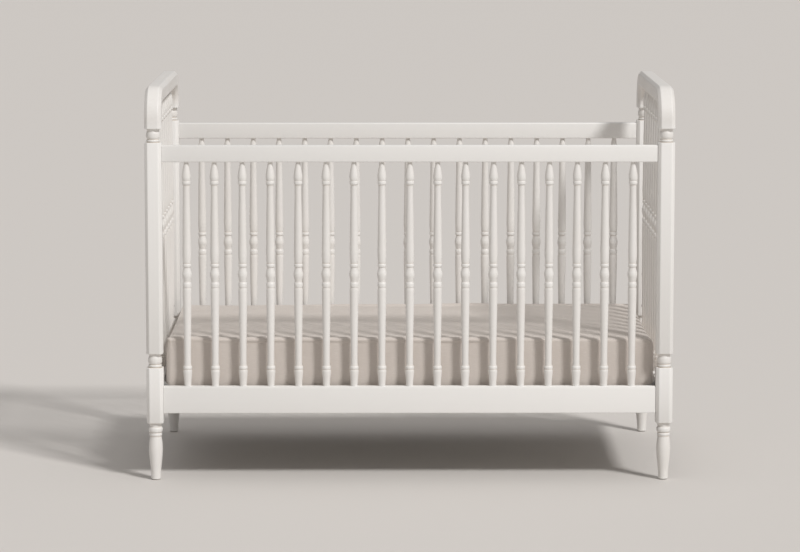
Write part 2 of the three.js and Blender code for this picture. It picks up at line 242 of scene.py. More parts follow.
# %% [markdown]
# The wood is sprayed with a warm white satin lacquer over a sanded primer. Close up it isn't flat: the
# pores and the softer bands of the grain sink a little under the film. The film is slightly thicker in
# grooves, and the colour there is darkened further as painted shade. It thins on sharp edges, and the
# colour there is lightened as a painted highlight. The grain follows the length of each piece, so the
# finish is made three times, once for each direction that a piece can run in.

# %% Painted wood
PAINT = (0.82, 0.80, 0.775, 1)
# The second colour darkens the grain and the tone, and it is also the painted shade laid into grooves.
PAINT_GRAIN_AND_GROOVE_SHADE = (0.64, 0.575, 0.495, 1)
# The third colour is a painted highlight on sharp edges.
PAINT_EDGE_HIGHLIGHT = (0.88, 0.87, 0.85, 1)
ALONG_GRAIN = 3.0
ACROSS_GRAIN = 150.0


def painted_wood(axis):
    finish = Finish("painted_wood_along_" + "xyz"[axis])
    stretch = [ACROSS_GRAIN] * 3
    stretch[axis] = ALONG_GRAIN
    grain = finish.noise(finish.place(stretch), detail=4.0, roughness=0.6, distortion=0.4)
    pores = finish.noise(finish.place([4.5 * s for s in stretch]), detail=1.0)
    orange_peel = finish.noise(finish.place([420.0] * 3), detail=1.0)
    tone = finish.noise(finish.place([5.0] * 3), detail=2.0)
    edge = finish.add("ShaderNodeNewGeometry", output="Pointiness")
    # Painted shade: where pointiness is low, in grooves and creases, the colour is darkened as if shade fell
    # there.
    groove_shade = finish.range(edge, 0.497, 0.47)
    # Painted highlight: where pointiness is high, on sharp edges, the colour is lightened as if light caught
    # there.
    edge_highlight = finish.range(edge, 0.508, 0.55)
    colour = finish.mix(finish.range(tone, 0.35, 0.7, 0.0, 0.12), PAINT, PAINT_GRAIN_AND_GROOVE_SHADE)
    colour = finish.mix(finish.range(grain, 0.3, 0.62, 0.1, 0.0), colour, PAINT_GRAIN_AND_GROOVE_SHADE)
    colour = finish.mix(groove_shade * 0.75, colour, PAINT_GRAIN_AND_GROOVE_SHADE)
    colour = finish.mix(edge_highlight * 0.8, colour, PAINT_EDGE_HIGHLIGHT)
    roughness = finish.range(tone, 0.3, 0.7, 0.36, 0.46) + grain * 0.06
    height = grain * 0.6 + finish.range(pores, 0.3, 0.42) * 0.35 + orange_peel * 0.25
    film = finish.bump(height, 0.00018, 0.35)
    return finish.set(Base_Color=colour, Roughness=roughness, Normal=film)


PAINTED = [painted_wood(axis) for axis in range(3)]
print("painted wood finishes:", [m.name for m in PAINTED])

# %% [markdown]
# The metal is of two sorts. The support's frame, wires and hangers are mild steel with a thin grey powder
# coat, which has a fine orange-peel texture and rubs through to brighter metal on its edges. The bolts,
# inserts and dowels are zinc-plated: brighter, smoother, and a little uneven in gloss. The foot glides are
# nylon, and a hole in the wood shows the bare beech that the paint doesn't reach.

# %% Steel, nylon and bare wood


def coated_steel():
    finish = Finish("coated_steel")
    grain = finish.noise(finish.place([900.0] * 3), detail=2.0)
    tone = finish.noise(finish.place([9.0] * 3), detail=3.0)
    edge = finish.add("ShaderNodeNewGeometry", output="Pointiness")
    rubbed = finish.range(edge + grain * 0.02, 0.53, 0.575)
    colour = finish.mix(finish.range(tone, 0.3, 0.7), (0.30, 0.295, 0.285, 1), (0.36, 0.355, 0.345, 1))
    colour = finish.mix(rubbed, colour, (0.5, 0.49, 0.475, 1))
    roughness = finish.range(tone, 0.3, 0.7, 0.42, 0.56) - rubbed * 0.12
    skin = finish.bump(grain, 0.0001, 0.5)
    return finish.set(Base_Color=colour, Metallic=rubbed * 0.6 + 0.15, Roughness=roughness, Normal=skin)


def zinc_plate():
    finish = Finish("zinc_plate")
    brushed = finish.noise(finish.place([1400.0, 1400.0, 220.0]), detail=2.0)
    tone = finish.noise(finish.place([160.0] * 3), detail=2.0)
    colour = finish.mix(tone, (0.56, 0.56, 0.57, 1), (0.72, 0.71, 0.69, 1))
    roughness = finish.range(brushed, 0.3, 0.7, 0.24, 0.38)
    skin = finish.bump(brushed, 0.00004, 0.4)
    return finish.set(Base_Color=colour, Metallic=0.95, Roughness=roughness, Normal=skin)


def nylon():
    finish = Finish("nylon")
    tone = finish.noise(finish.place([60.0] * 3), detail=2.0)
    scuff = finish.noise(finish.place([700.0, 90.0, 700.0]), detail=2.0)
    colour = finish.mix(finish.range(tone, 0.3, 0.7), (0.62, 0.6, 0.56, 1), (0.72, 0.7, 0.66, 1))
    roughness = finish.range(scuff, 0.3, 0.7, 0.42, 0.62)
    return finish.set(Base_Color=colour, Roughness=roughness, Normal=finish.bump(scuff, 0.00005, 0.5))


def bare_beech():
    finish = Finish("bare_beech")
    grain = finish.noise(finish.place([220.0, 220.0, 12.0]), detail=3.0, distortion=0.5)
    colour = finish.mix(finish.range(grain, 0.3, 0.7), (0.36, 0.22, 0.12, 1), (0.55, 0.38, 0.23, 1))
    return finish.set(Base_Color=colour, Roughness=0.75, Normal=finish.bump(grain, 0.0002, 0.5))


COATED_STEEL = coated_steel()
ZINC_PLATE = zinc_plate()
NYLON = nylon()
BARE_BEECH = bare_beech()
print("metal, nylon and bare wood are ready")

# %% [markdown]
# Every piece goes through the same last step: its faces are turned outwards, it is shaded smooth except
# over real corners, it gets its finish, and it rides on the body of the part that it stands for. The object
# itself stays at the origin, with the place in the mesh, so a grain in Object coordinates never slides.

# %% Finishing a piece
CORNER = math.radians(34)


def finish_piece(bm, name, body, materials, replaces=(), corner=CORNER):
    """Makes an object of the model from a bmesh, and says what it rides on and stands for."""
    mesh = bpy.data.meshes.new(name)
    bm.to_mesh(mesh)
    bm.free()
    mesh.shade_smooth()
    mesh.set_sharp_from_angle(angle=corner)
    for material in materials:
        mesh.materials.append(material)
    piece = bpy.data.objects.new(name, mesh)
    bpy.context.scene.collection.objects.link(piece)
    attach(piece, body)
    if replaces:
        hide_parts(*replaces)
    return piece


def settled(piece):
    """The piece with its modifiers applied to its mesh."""
    graph = bpy.context.evaluated_depsgraph_get()
    mesh = bpy.data.meshes.new_from_object(piece.evaluated_get(graph))
    piece.modifiers.clear()
    piece.data = mesh
    return piece


print("edges sharper than", round(math.degrees(CORNER)), "degrees stay sharp")

# %% [markdown]
# A turner sees a spindle or a leg as an outline: coves, beads, and long curves between them. The outline is
# written upwards as (height, radius) pairs in millimetres. `flowing` draws one smooth curve through a few
# points, and `bead` gives a half round, or a hollow where the crest is smaller than its foot.

# %% Outlines for turning


def flowing(points, steps=6):
    """A smooth curve through (height, radius) points."""
    knots = [Vector((height, radius, 0)) for height, radius in points]
    last = len(knots) - 1
    pulls = [(knots[min(i + 1, last)] - knots[max(i - 1, 0)]) / 6 for i in range(last + 1)]
    curve = [knots[0]]
    for i in range(last):
        start, end = knots[i], knots[i + 1]
        curve += geometry.interpolate_bezier(start, start + pulls[i], end - pulls[i + 1], end, steps)[1:]
    return [(point.x, point.y) for point in curve]


def bead(low, high, foot, crest, steps=7):
    """A half round from height low to height high."""
    turns = [math.pi * i / steps for i in range(steps + 1)]
    middle, half = (low + high) / 2, (high - low) / 2
    return [(middle - half * math.cos(t), foot + (crest - foot) * math.sin(t)) for t in turns]


print("a bead has", len(bead(0, 10, 5, 8)), "points")

# %% [markdown]
# The spindles are the crib's pattern. Each has the same turnings: a bulb and a small bead at the foot, a
# slim shaft that swells towards a vase at mid-height with a bead on each side, a second shaft, and a collar
# with a pointed bud under the top rail. Only the plain shafts differ in length between a long side and an
# end. The natural way to make one is the lathe's own way: draw half the outline and spin it round its axis.

# %% Spindle outline


def spindle_outline(length, middle):
    """The outline of a spindle of that length, from its foot upwards, with its vase at the height middle."""
    foot = flowing([(0, 8.7), (14, 9.6), (28, 10.9), (38.5, 11.7), (42.5, 11.2)])
    foot += bead(44.5, 53, 10.2, 11.5)
    lower = flowing(
        [(56.5, 9.0), (80, 8.9), (112, 9.3), (160, 10.1), (middle - 65, 11.3), (middle - 39, 11.5)]
    )
    vase = bead(middle - 34.5, middle - 21, 10.2, 11.5)
    vase += flowing([(middle - 18.5, 9.6), (middle - 13, 10.6), (middle - 3, 12.5), (middle + 4, 12.3)])
    vase += flowing([(middle + 9.5, 10.8), (middle + 16, 9.5), (middle + 18.5, 9.3)])
    vase += bead(middle + 19.5, middle + 28.5, 10.0, 11.4)
    upper = flowing([(middle + 33, 10.6), (middle + 55, 11.6), (middle + 90, 10.95), (length - 135, 10.1)])
    upper += flowing([(length - 110, 9.35), (length - 84, 9.0), (length - 60.5, 9.0)])
    collar = bead(length - 59, length - 49.6, 10.2, 11.4)
    bud = flowing([(length - 48.6, 10.6), (length - 41, 11.7), (length - 31, 10.9), (length - 19, 8.9)])
    bud += flowing([(length - 12, 7.5), (length - 5, 6.4), (length, 6.1)])
    return foot + lower + vase + upper + collar + bud


SPINDLE_STEPS = 28


def spun(outline, steps):
    """A bmesh of an outline in millimetres, spun round Z and closed at its poles."""
    bm = bmesh.new()
    points = [(outline[0][0], 0)] + outline + [(outline[-1][0], 0)]
    corners = [bm.verts.new((radius * MM, 0, height * MM)) for height, radius in points]
    edges = [bm.edges.new(pair) for pair in zip(corners, corners[1:])]
    bmesh.ops.spin(
        bm, geom=corners + edges, cent=(0, 0, 0), axis=(0, 0, 1), angle=FULL_TURN, steps=steps, use_merge=True
    )
    bmesh.ops.remove_doubles(bm, verts=bm.verts, dist=1e-6)
    bmesh.ops.recalc_face_normals(bm, faces=bm.faces)
    return bm


print("a spindle is turned in", SPINDLE_STEPS, "steps")

# %% Side spindles
side_length = (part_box("front_spindle_01")[1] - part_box("front_spindle_01")[0]).z / MM
side_spindles = []
for side in SIDES:
    number = 1
    while f"{side}_spindle_{number:02d}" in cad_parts:
        node = f"{side}_spindle_{number:02d}"
        low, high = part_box(node)
        bm = spun(spindle_outline(side_length, side_length / 2), SPINDLE_STEPS)
        bmesh.ops.rotate(bm, verts=bm.verts, matrix=Matrix.Rotation(number * 1.3, 3, "Z"))
        bmesh.ops.translate(bm, verts=bm.verts, vec=((low.x + high.x) / 2, (low.y + high.y) / 2, low.z))
        side_spindles.append(
            finish_piece(bm, node + "_turned", "crib", [PAINTED[2]], [node])
        )
        number += 1
faces_each = len(side_spindles[0].data.polygons)
print(len(side_spindles), "side spindles of", round(side_length, 1), "mm,", faces_each, "faces each")

# %% [markdown]
# A rail is a planed board with its long edges rounded over, cut square at its ends. The end's edges are
# only broken, which leaves the fine dark line that shows where the rail meets the post. Starting from a
# cube and bevelling its long edges first and its end edges second gives exactly that.

# %% Rails
ROUND_OVER = 2.4 * MM
BROKEN_EDGE = 1.5 * MM


def planed_board(low, high, length_axis, round_over=ROUND_OVER):
    """A board between two corners, its long edges rounded and its end edges broken."""
    bm = bmesh.new()
    bmesh.ops.create_cube(bm, size=1)
    bmesh.ops.scale(bm, verts=bm.verts, vec=high - low)
    bmesh.ops.translate(bm, verts=bm.verts, vec=(low + high) / 2)
    along = [e for e in bm.edges if abs((e.verts[0].co - e.verts[1].co)[length_axis]) > 1e-6]
    bmesh.ops.bevel(
        bm, geom=along, offset=round_over, segments=5, profile=0.5, affect="EDGES", material=-1
    )
    ends = [
        e for e in bm.edges
        if any(all(abs(v.co[length_axis] - end[length_axis]) < 1e-6 for v in e.verts) for end in (low, high))
    ]
    bmesh.ops.bevel(
        bm, geom=ends, offset=BROKEN_EDGE, segments=2, profile=0.5, affect="EDGES", material=-1
    )
    return bm


side_rails = {}
for side in SIDES:
    for level in ("top", "bottom"):
        node = f"{side}_{level}_rail"
        low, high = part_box(node)
        board = planed_board(low, high, 0)
        side_rails[node] = finish_piece(
            board, node + "_planed", "crib", [PAINTED[0], BARE_BEECH],
            [node], math.radians(50),
        )

# %% [markdown]
# An end is glued up as a comb: a bottom rail with eight spindles standing in it, whose buds meet the arch.
# The frame keeps the comb as one part. Here the rail and the spindles are separate pieces again, as they
# are before glue, and the rail stands for the part in the frame.

# %% End rails and spindles
END_SPINDLES = 8
END_VASE_RISE = 28.0
rail_height = (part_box("front_bottom_rail")[1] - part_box("front_bottom_rail")[0]).z
end_spindles = []
for end in ENDS:
    node = f"{end}_end_rail_and_spindles"
    low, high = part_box(node)
    rail_top = Vector((high.x, high.y, low.z + rail_height))
    board = planed_board(low, rail_top, 1)
    finish_piece(
        board, f"{end}_end_rail_planed", "crib", [PAINTED[1]], [node], math.radians(50)
    )
    pitch = (high.y - low.y) / (END_SPINDLES + 1)
    length = (high.z - rail_top.z) / MM
    for i in range(END_SPINDLES):
        bm = spun(spindle_outline(length, length / 2 + END_VASE_RISE), SPINDLE_STEPS)
        seat = ((low.x + high.x) / 2, low.y + (i + 1) * pitch, rail_top.z)
        bmesh.ops.translate(bm, verts=bm.verts, vec=seat)
        end_spindles.append(
            finish_piece(bm, f"{end}_end_spindle_{i + 1}_turned", "crib", [PAINTED[2]])
        )
print(len(end_spindles), "end spindles of", round(length, 1), "mm")

# %% [markdown]
# Posts and arches can't be spun, because they are square in places. They are lofted instead: one ring of
# corners is extruded again and again, and each new ring is moved to its own outline. A block's ring is a
# square with its corners cut off, and a turned part's ring is a circle. The corners of the rings stand
# closer together beside the chamfers, so that the chamfers stay crisp and the circles stay round.

# %% Lofting rings


def loft(corners, rings, endless=False):
    """A closed body through rings; each ring is a function from a corner's number to its place.

    An endless loft has no caps, and its last ring joins its first.
    """
    bm = bmesh.new()
    number = bm.verts.layers.int.new("number")
    ring = bmesh.ops.create_circle(bm, cap_ends=not endless, segments=corners, radius=1)["verts"]
    for i, corner in enumerate(ring):
        corner[number] = i
        corner.co = rings[0](i)
    edges = list(bm.edges)
    for place in rings[1:] + rings[:1] * endless:
        made = bmesh.ops.extrude_edge_only(bm, edges=edges)["geom"]
        fresh = [item for item in made if isinstance(item, bmesh.types.BMVert)]
        known = set(fresh)
        edges = [item for item in made if isinstance(item, bmesh.types.BMEdge) and set(item.verts) <= known]
        for corner in fresh:
            corner.co = place(corner[number])
    if endless:
        bmesh.ops.remove_doubles(bm, verts=bm.verts, dist=1e-7)
    else:
        bmesh.ops.edgeloop_fill(bm, edges=edges)
    bmesh.ops.recalc_face_normals(bm, faces=bm.faces)
    return bm


print("rings can be lofted")

# %% Post section
post_low, post_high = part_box("front_left_post")
POST_HALF = (post_high.x - post_low.x) / 2 / MM
CHAMFER = 8.0
EASE = 70
BESIDE_CORNER = (-5.0, -2.2, -0.8, 0.8, 2.2, 5.0)
chamfer_turn = math.degrees(math.atan2(POST_HALF - CHAMFER, POST_HALF))
FLAT_TURNS = (-18.0, -9.0, 0.0, 9.0, 18.0)


def ring_turns():
    """The directions of a ring's corners, in radians: even over the flats, close together at the chamfers."""
    turns = []
    for quarter in (0, 90, 180, 270):
        turns += [quarter + turn for turn in FLAT_TURNS]
        turns += [quarter + chamfer_turn + turn for turn in BESIDE_CORNER]
        turns += [quarter + 45.0]
        turns += [quarter + 90 - chamfer_turn + turn for turn in BESIDE_CORNER]
    return [math.radians(turn) for turn in turns]


TURNS = ring_turns()


def square_reach(half, turn):
    """How far a square with cut corners reaches in one direction. EASE rounds its edges a little."""
    across, along = abs(math.cos(turn)), abs(math.sin(turn))
    flat = half / max(across, along)
    cut = (half + POST_HALF - CHAMFER) / (across + along)
    return (flat ** -EASE + cut ** -EASE) ** (-1 / EASE)


def round_ring(height, radius):
    return lambda i: Vector((math.cos(TURNS[i]) * radius, math.sin(TURNS[i]) * radius, height)) * MM


def square_ring(height, inset):
    """A ring of the square block, drawn in by inset."""

    def place(i):
        reach = square_reach(POST_HALF - inset, TURNS[i])
        return Vector((math.cos(TURNS[i]) * reach, math.sin(TURNS[i]) * reach, height)) * MM

    return place


print(len(TURNS), "corners in a ring")

# %% [markdown]
# From the floor up, a post has a tapered foot that swells to a vase and ends in a thin ring and a bead, a
# short square block for the bottom rails, a turned neck, a long square block for the top rails, and a
# second neck on which the arch stands. The neck is one turning, used twice: a ring, a groove, a round
# swelling, and a narrow throat that flares out again under what stands on it.

# %% Post outlines
LEG_TOP = 152.0
LOWER_BLOCK_TOP = 299.0
UPPER_BLOCK_FOOT = 335.5
UPPER_BLOCK_TOP = 891.0
POST_TOP = post_high.z / MM
GLIDE_HEIGHT = 2.5
BLOCK_EDGE = 1.6
SHOULDER = 16.2

leg_outline = (
    [(GLIDE_HEIGHT, 11.6)]
    + flowing([(GLIDE_HEIGHT + 1, 12.7), (20, 13.2), (34, 14.4), (50, 16.1), (66, 17.6), (82, 18.4)])
    + flowing([(90, 18.2), (99, 17.6), (108, 16.5), (115, 15.5)])
    + bead(117.2, 125.2, 15.5, 17.0)
    + [(125.8, 15.6)]
    + bead(127, 141, 16.0, 18.6)
    + flowing([(142, 15.8), (145, 16.0), (148, 16.9), (150.5, 16.7)])
    + [(LEG_TOP, SHOULDER)]
)


def neck_outline(foot, top):
    """The neck between two heights."""
    tall = top - foot
    outline = [(foot, SHOULDER)]
    outline += bead(foot + 0.04 * tall, foot + 0.21 * tall, 16.0, 17.6)
    outline += [(foot + 0.25 * tall, 15.6)]
    outline += flowing(
        [(foot + t * tall, r) for t, r in ((0.27, 16.4), (0.36, 17.9), (0.5, 18.5), (0.66, 18.1))]
    )
    outline += flowing(
        [(foot + t * tall, r) for t, r in ((0.76, 17.0), (0.83, 16.2), (0.9, 16.7), (0.96, 17.4))]
    )
    return outline + [(top, SHOULDER)]


def block_rings(foot, top):
    """A square block with its end edges broken."""
    ends = [(foot, BLOCK_EDGE), (foot + 0.35 * BLOCK_EDGE, 0.5 * BLOCK_EDGE), (foot + 1.2 * BLOCK_EDGE, 0)]
    ends += [(top - 1.2 * BLOCK_EDGE, 0), (top - 0.35 * BLOCK_EDGE, 0.5 * BLOCK_EDGE), (top, BLOCK_EDGE)]
    return [square_ring(height, inset) for height, inset in ends]


post_rings = (
    [round_ring(*point) for point in leg_outline]
    + block_rings(LEG_TOP, LOWER_BLOCK_TOP)
    + [round_ring(*point) for point in neck_outline(LOWER_BLOCK_TOP, UPPER_BLOCK_FOOT)]
    + block_rings(UPPER_BLOCK_FOOT, UPPER_BLOCK_TOP)
    + [round_ring(*point) for point in neck_outline(UPPER_BLOCK_TOP, POST_TOP)]
)
print(len(post_rings), "rings in a post")

# %% [markdown]
# The posts are drilled in two directions. Four holes one above the other face the other side of the crib
# and take threaded inserts, which set the heights of the mattress support. From the outer end a
# counterbored hole at each rail takes the bolt that pulls the rail tight, and the rail is drilled from
# below for the cross dowel that the bolt screws into. All the drills are joined in one mesh, and a Boolean
# cuts them at once, which leaves clean round holes in flat wood.

# %% Drilling
DRILL_STEPS = 32
OVERSHOOT = 3 * MM


def drilled(piece, drills):
    """Cuts round holes, each a start on the surface, a direction into the wood, a radius and a depth."""
    bm = bmesh.new()
    for start, direction, radius, depth in drills:
        turn = Vector((0, 0, 1)).rotation_difference(direction).to_matrix().to_4x4()
        centre = start + direction * (depth - OVERSHOOT) / 2
        bmesh.ops.create_cone(
            bm, cap_ends=True, segments=DRILL_STEPS, radius1=radius, radius2=radius, depth=depth + OVERSHOOT,
            matrix=Matrix.Translation(centre) @ turn,
        )
    mesh = bpy.data.meshes.new("drills")
    bm.to_mesh(mesh)
    bm.free()
    mesh.materials.append(BARE_BEECH)
    tool = bpy.data.objects.new("drills", mesh)
    bpy.context.scene.collection.objects.link(tool)
    cut = piece.modifiers.new("drilled", "BOOLEAN")
    cut.operation = "DIFFERENCE"
    cut.solver = "EXACT"
    cut.material_mode = "TRANSFER"
    cut.object = tool
    settled(piece)
    bpy.data.objects.remove(tool)
    piece.data.set_sharp_from_angle(angle=CORNER)
    return piece


print("a drill has", DRILL_STEPS, "sides")

# %% Posts
INSERT_RADIUS = 6.0 * MM
INSERT_DEPTH = 26 * MM
COUNTERBORE_RADIUS = 6.8 * MM
COUNTERBORE_DEPTH = 6.0 * MM
RAIL_BOLT_HEAD = 5.6 * MM
LEVELS = 4
LEVEL_PITCH = 90 * MM
bolt_low, bolt_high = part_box("front_left_support_bolt")
first_level = (bolt_low.z + bolt_high.z) / 2
levels = [first_level + i * LEVEL_PITCH for i in range(LEVELS)]
rail_middles = [sum(corner.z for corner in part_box(f"front_{n}_rail")) / 2 for n in ("bottom", "top")]
insert_places = []
rail_bolt_places = []
for side, sy in SIDES.items():
    for end, sx in ENDS.items():
        node = f"{side}_{end}_post"
        low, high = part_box(node)
        axis = (low + high) / 2
        bm = loft(len(TURNS), post_rings)
        bmesh.ops.translate(bm, verts=bm.verts, vec=(axis.x, axis.y, 0))
        post = finish_piece(bm, node + "_turned", "crib", [PAINTED[2], BARE_BEECH], [node])
        inward = Vector((0, -sy, 0))
        sockets = [Vector((axis.x, axis.y - sy * POST_HALF * MM, z)) for z in levels]
        heads = [Vector((axis.x + sx * POST_HALF * MM, axis.y, z)) for z in rail_middles]
        drills = [(place, -inward, INSERT_RADIUS, INSERT_DEPTH) for place in sockets]
        drills += [(place, Vector((-sx, 0, 0)), COUNTERBORE_RADIUS, COUNTERBORE_DEPTH) for place in heads]
        drilled(post, drills)
        insert_places += [(f"{side}_{end}_insert_{i + 1}", place, inward) for i, place in enumerate(sockets)]
        rail_bolt_places += [
            (f"{side}_{end}_{name}_rail_bolt", place, Vector((sx, 0, 0)))
            for name, place in zip(("bottom", "top"), heads)
        ]
print("posts drilled for", len(insert_places), "inserts and", len(rail_bolt_places), "rail bolts")

# %% [markdown]
# The arch is the same chamfered bar, bent over the end. Its outer shoulder and its inner shoulder are
# quarter circles, and the crest is a little deeper than the legs. The section's ring travels round the
# path: up one leg, round the shoulder, over the crest and down again. At every stop a corner lies between
# the inner line and the outer line of the arch, in the same share as in the bar's section.

# %% Arch path
SHOULDER_RADIUS = 90.0
CREST_DEPTH = 46.0
SHOULDER_STEPS = 14
arch_low, arch_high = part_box("left_end_arch")
HALF_SPAN = arch_high.y / MM
ARCH_FOOT = arch_low.z / MM
ARCH_TOP = arch_high.z / MM
LEG_DEPTH = 2 * POST_HALF


def shoulder_point(turn, radius, centre_reach):
    """A point of a quarter circle on the +Y shoulder; turn is 0 at the leg and a quarter at the crest."""
    height = ARCH_TOP - SHOULDER_RADIUS
    return Vector((0, centre_reach + radius * math.cos(turn), height + radius * math.sin(turn)))


def arch_stops():
    """Pairs of points, on the inner and the outer line of the arch, from the -Y foot to the +Y foot."""
    inner_radius = SHOULDER_RADIUS - CREST_DEPTH
    half = []
    for height, draw_in in ((ARCH_FOOT, 0.9), (ARCH_FOOT + 0.9, 0.0)):
        half.append((Vector((draw_in, HALF_SPAN - LEG_DEPTH, height)), Vector((draw_in, HALF_SPAN, height))))
    for i in range(SHOULDER_STEPS + 1):
        turn = math.pi / 2 * i / SHOULDER_STEPS
        inner = shoulder_point(turn, inner_radius, HALF_SPAN - LEG_DEPTH - inner_radius)
        outer = shoulder_point(turn, SHOULDER_RADIUS, HALF_SPAN - SHOULDER_RADIUS)
        half.append((inner, outer))
    mirror = Vector((1, -1, 1))
    return [(inner * mirror, outer * mirror) for inner, outer in half] + half[::-1]


print("the arch has", len(arch_stops()), "stops")

# %% Arches
def arch_ring(inner, outer, axis_x):
    """One ring of the bar between the arch's two lines; the points' x is how far the edge is drawn in."""
    draw_in = inner.x

    def place(i):
        reach = square_reach(POST_HALF - draw_in, TURNS[i])
        across = math.cos(TURNS[i]) * reach
        share = math.sin(TURNS[i]) * reach / (2 * POST_HALF) + 0.5
        point = inner.lerp(outer, share)
        return Vector((axis_x / MM + across, point.y, point.z)) * MM

    return place


for end in ENDS:
    node = f"{end}_end_arch"
    low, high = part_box(node)
    rings = [arch_ring(inner, outer, (low.x + high.x) / 2) for inner, outer in arch_stops()]
    bm = loft(len(TURNS), rings)
    arch = finish_piece(bm, node + "_bent", "crib", [PAINTED[1]], [node], math.radians(24))
print("arch", len(arch.data.polygons), "faces")

# %% Rail dowel holes
DOWEL_RADIUS = 5.0 * MM
DOWEL_DEPTH = 30 * MM
DOWEL_FROM_END = 32 * MM
DOWN = Vector((0, 0, -1))
dowel_places = []
for node, rail in side_rails.items():
    low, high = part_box(node)
    places = [
        Vector((x, (low.y + high.y) / 2, low.z)) for x in (low.x + DOWEL_FROM_END, high.x - DOWEL_FROM_END)
    ]
    drilled(rail, [(place, -DOWN, DOWEL_RADIUS, DOWEL_DEPTH) for place in places])
    dowel_places += [(f"{node}_{end}_dowel", place, DOWN) for end, place in zip(ENDS, places)]
print(len(dowel_places), "cross dowels")

# %% [markdown]
# Small hardware is made along Z and then turned to face out of its hole. A hexagon socket is one more ring
# trick: the ring that goes down into the head is a hexagon, so a head with its socket is a single closed
# body. An insert is a tube, so its outline closes on itself and is spun without poles.

# %% Bolts, inserts and dowels
HARDWARE_CORNERS = 36
HARDWARE_TURNS = [FULL_TURN * i / HARDWARE_CORNERS for i in range(HARDWARE_CORNERS)]


def disc(height, radius):
    lift = Vector((0, 0, height * MM))

    def place(i):
        spoke = Vector((math.cos(HARDWARE_TURNS[i]), math.sin(HARDWARE_TURNS[i]), 0))
        return spoke * radius * MM + lift

    return place


def hexagon(height, flats):
    """A ring in the shape of a hexagon, flats millimetres across."""

    def place(i):
        turn = HARDWARE_TURNS[i]
        reach = flats / 2 / math.cos((turn + math.pi / 6) % (math.pi / 3) - math.pi / 6)
        return Vector((math.cos(turn) * reach, math.sin(turn) * reach, height)) * MM

    return place


def facing(bm, place, direction):
    """Turns hardware made along Z to face in a direction, and puts its origin at place."""
    turn = Vector((0, 0, 1)).rotation_difference(direction).to_matrix()
    bmesh.ops.rotate(bm, verts=bm.verts, matrix=turn)
    bmesh.ops.translate(bm, verts=bm.verts, vec=place)
    return bm


def socket_head(radius, head, shank_radius, shank, flats, threads=0):
    """A bolt with a rounded socket head, its head's top at 0 and its shank below."""
    rings = [disc(-head - shank, shank_radius * 0.7), disc(-head - shank + 0.6, shank_radius)]
    pitch = 1.0
    for i in range(threads):
        at = -head - shank + 1 + i * pitch
        rings += [disc(at, shank_radius - 0.05), disc(at + 0.35 * pitch, shank_radius - 0.55)]
        rings += [disc(at + 0.5 * pitch, shank_radius - 0.55), disc(at + 0.85 * pitch, shank_radius - 0.05)]
    rings += [disc(-head - 0.4, shank_radius), disc(-head, shank_radius + 0.2)]
    rings += [disc(-head, radius - 0.3), disc(-head + 0.3, radius)]
    dome = 0.55 * head
    for i in range(7):
        turn = math.pi / 2 * i / 6
        rings.append(disc(-dome + dome * math.sin(turn), radius - 0.32 * radius * (1 - math.cos(turn))))
    rings += [hexagon(0, flats + 0.5), hexagon(-0.3, flats), hexagon(-0.6 * head, flats)]
    return loft(HARDWARE_CORNERS, rings)


def threaded_insert(bore, outer, length):
    """A tube with a countersunk rim, from 0 down."""
    bm = bmesh.new()
    outline = [(0, bore + 0.6), (0, outer - 0.25), (-0.25, outer), (-length, outer)]
    outline += [(-length, bore), (-0.6, bore)]
    points = [bm.verts.new((radius * MM, 0, height * MM)) for height, radius in outline]
    edges = [bm.edges.new((a, b)) for a, b in zip(points, points[1:] + points[:1])]
    bmesh.ops.spin(
        bm, geom=points + edges, cent=(0, 0, 0), axis=(0, 0, 1), angle=FULL_TURN, steps=32, use_merge=True
    )
    bmesh.ops.remove_doubles(bm, verts=bm.verts, dist=1e-6)
    bmesh.ops.recalc_face_normals(bm, faces=bm.faces)
    return bm


def slotted_dowel(radius, length, slot):
    """A cross dowel with a screwdriver slot across its end, from 0 down."""
    bm = bmesh.new()
    bmesh.ops.create_cone(
        bm, cap_ends=True, segments=32, radius1=radius * MM, radius2=radius * MM, depth=length * MM,
        matrix=Matrix.Translation((0, 0, -length * MM / 2)),
    )
    for offset in (-slot / 2, slot / 2):
        bmesh.ops.bisect_plane(
            bm, geom=bm.verts[:] + bm.edges[:] + bm.faces[:], plane_co=(offset * MM, 0, 0), plane_no=(1, 0, 0)
        )
    edge = slot / 2 * MM
    floor_of_slot = [f for f in bm.faces if f.normal.z > 0.9 and abs(f.calc_center_median().x) < edge]
    sunk = bmesh.ops.extrude_face_region(bm, geom=floor_of_slot)["geom"]
    bmesh.ops.delete(bm, geom=floor_of_slot, context="FACES")
    corners = [v for v in sunk if isinstance(v, bmesh.types.BMVert)]
    bmesh.ops.translate(bm, verts=corners, vec=(0, 0, -1.6 * MM))
    bmesh.ops.recalc_face_normals(bm, faces=bm.faces)
    return bm


for name, place, direction in insert_places:
    bm = facing(threaded_insert(3.3, INSERT_RADIUS / MM - 0.05, 24), place - direction * 0.2 * MM, direction)
    finish_piece(bm, name, "crib", [ZINC_PLATE])
for name, place, direction in rail_bolt_places:
    bm = socket_head(RAIL_BOLT_HEAD / MM, 4.0, 3.0, 1.8, 5.0)
    bm = facing(bm, place - direction * 0.2 * MM, direction)
    finish_piece(bm, name, "crib", [ZINC_PLATE])
for name, place, direction in dowel_places:
    bm = facing(slotted_dowel(DOWEL_RADIUS / MM - 0.08, 26, 1.4), place - direction * 0.5 * MM, direction)
    finish_piece(bm, name, "crib", [ZINC_PLATE])
print("hardware pieces:", len(insert_places) + len(rail_bolt_places) + len(dowel_places))

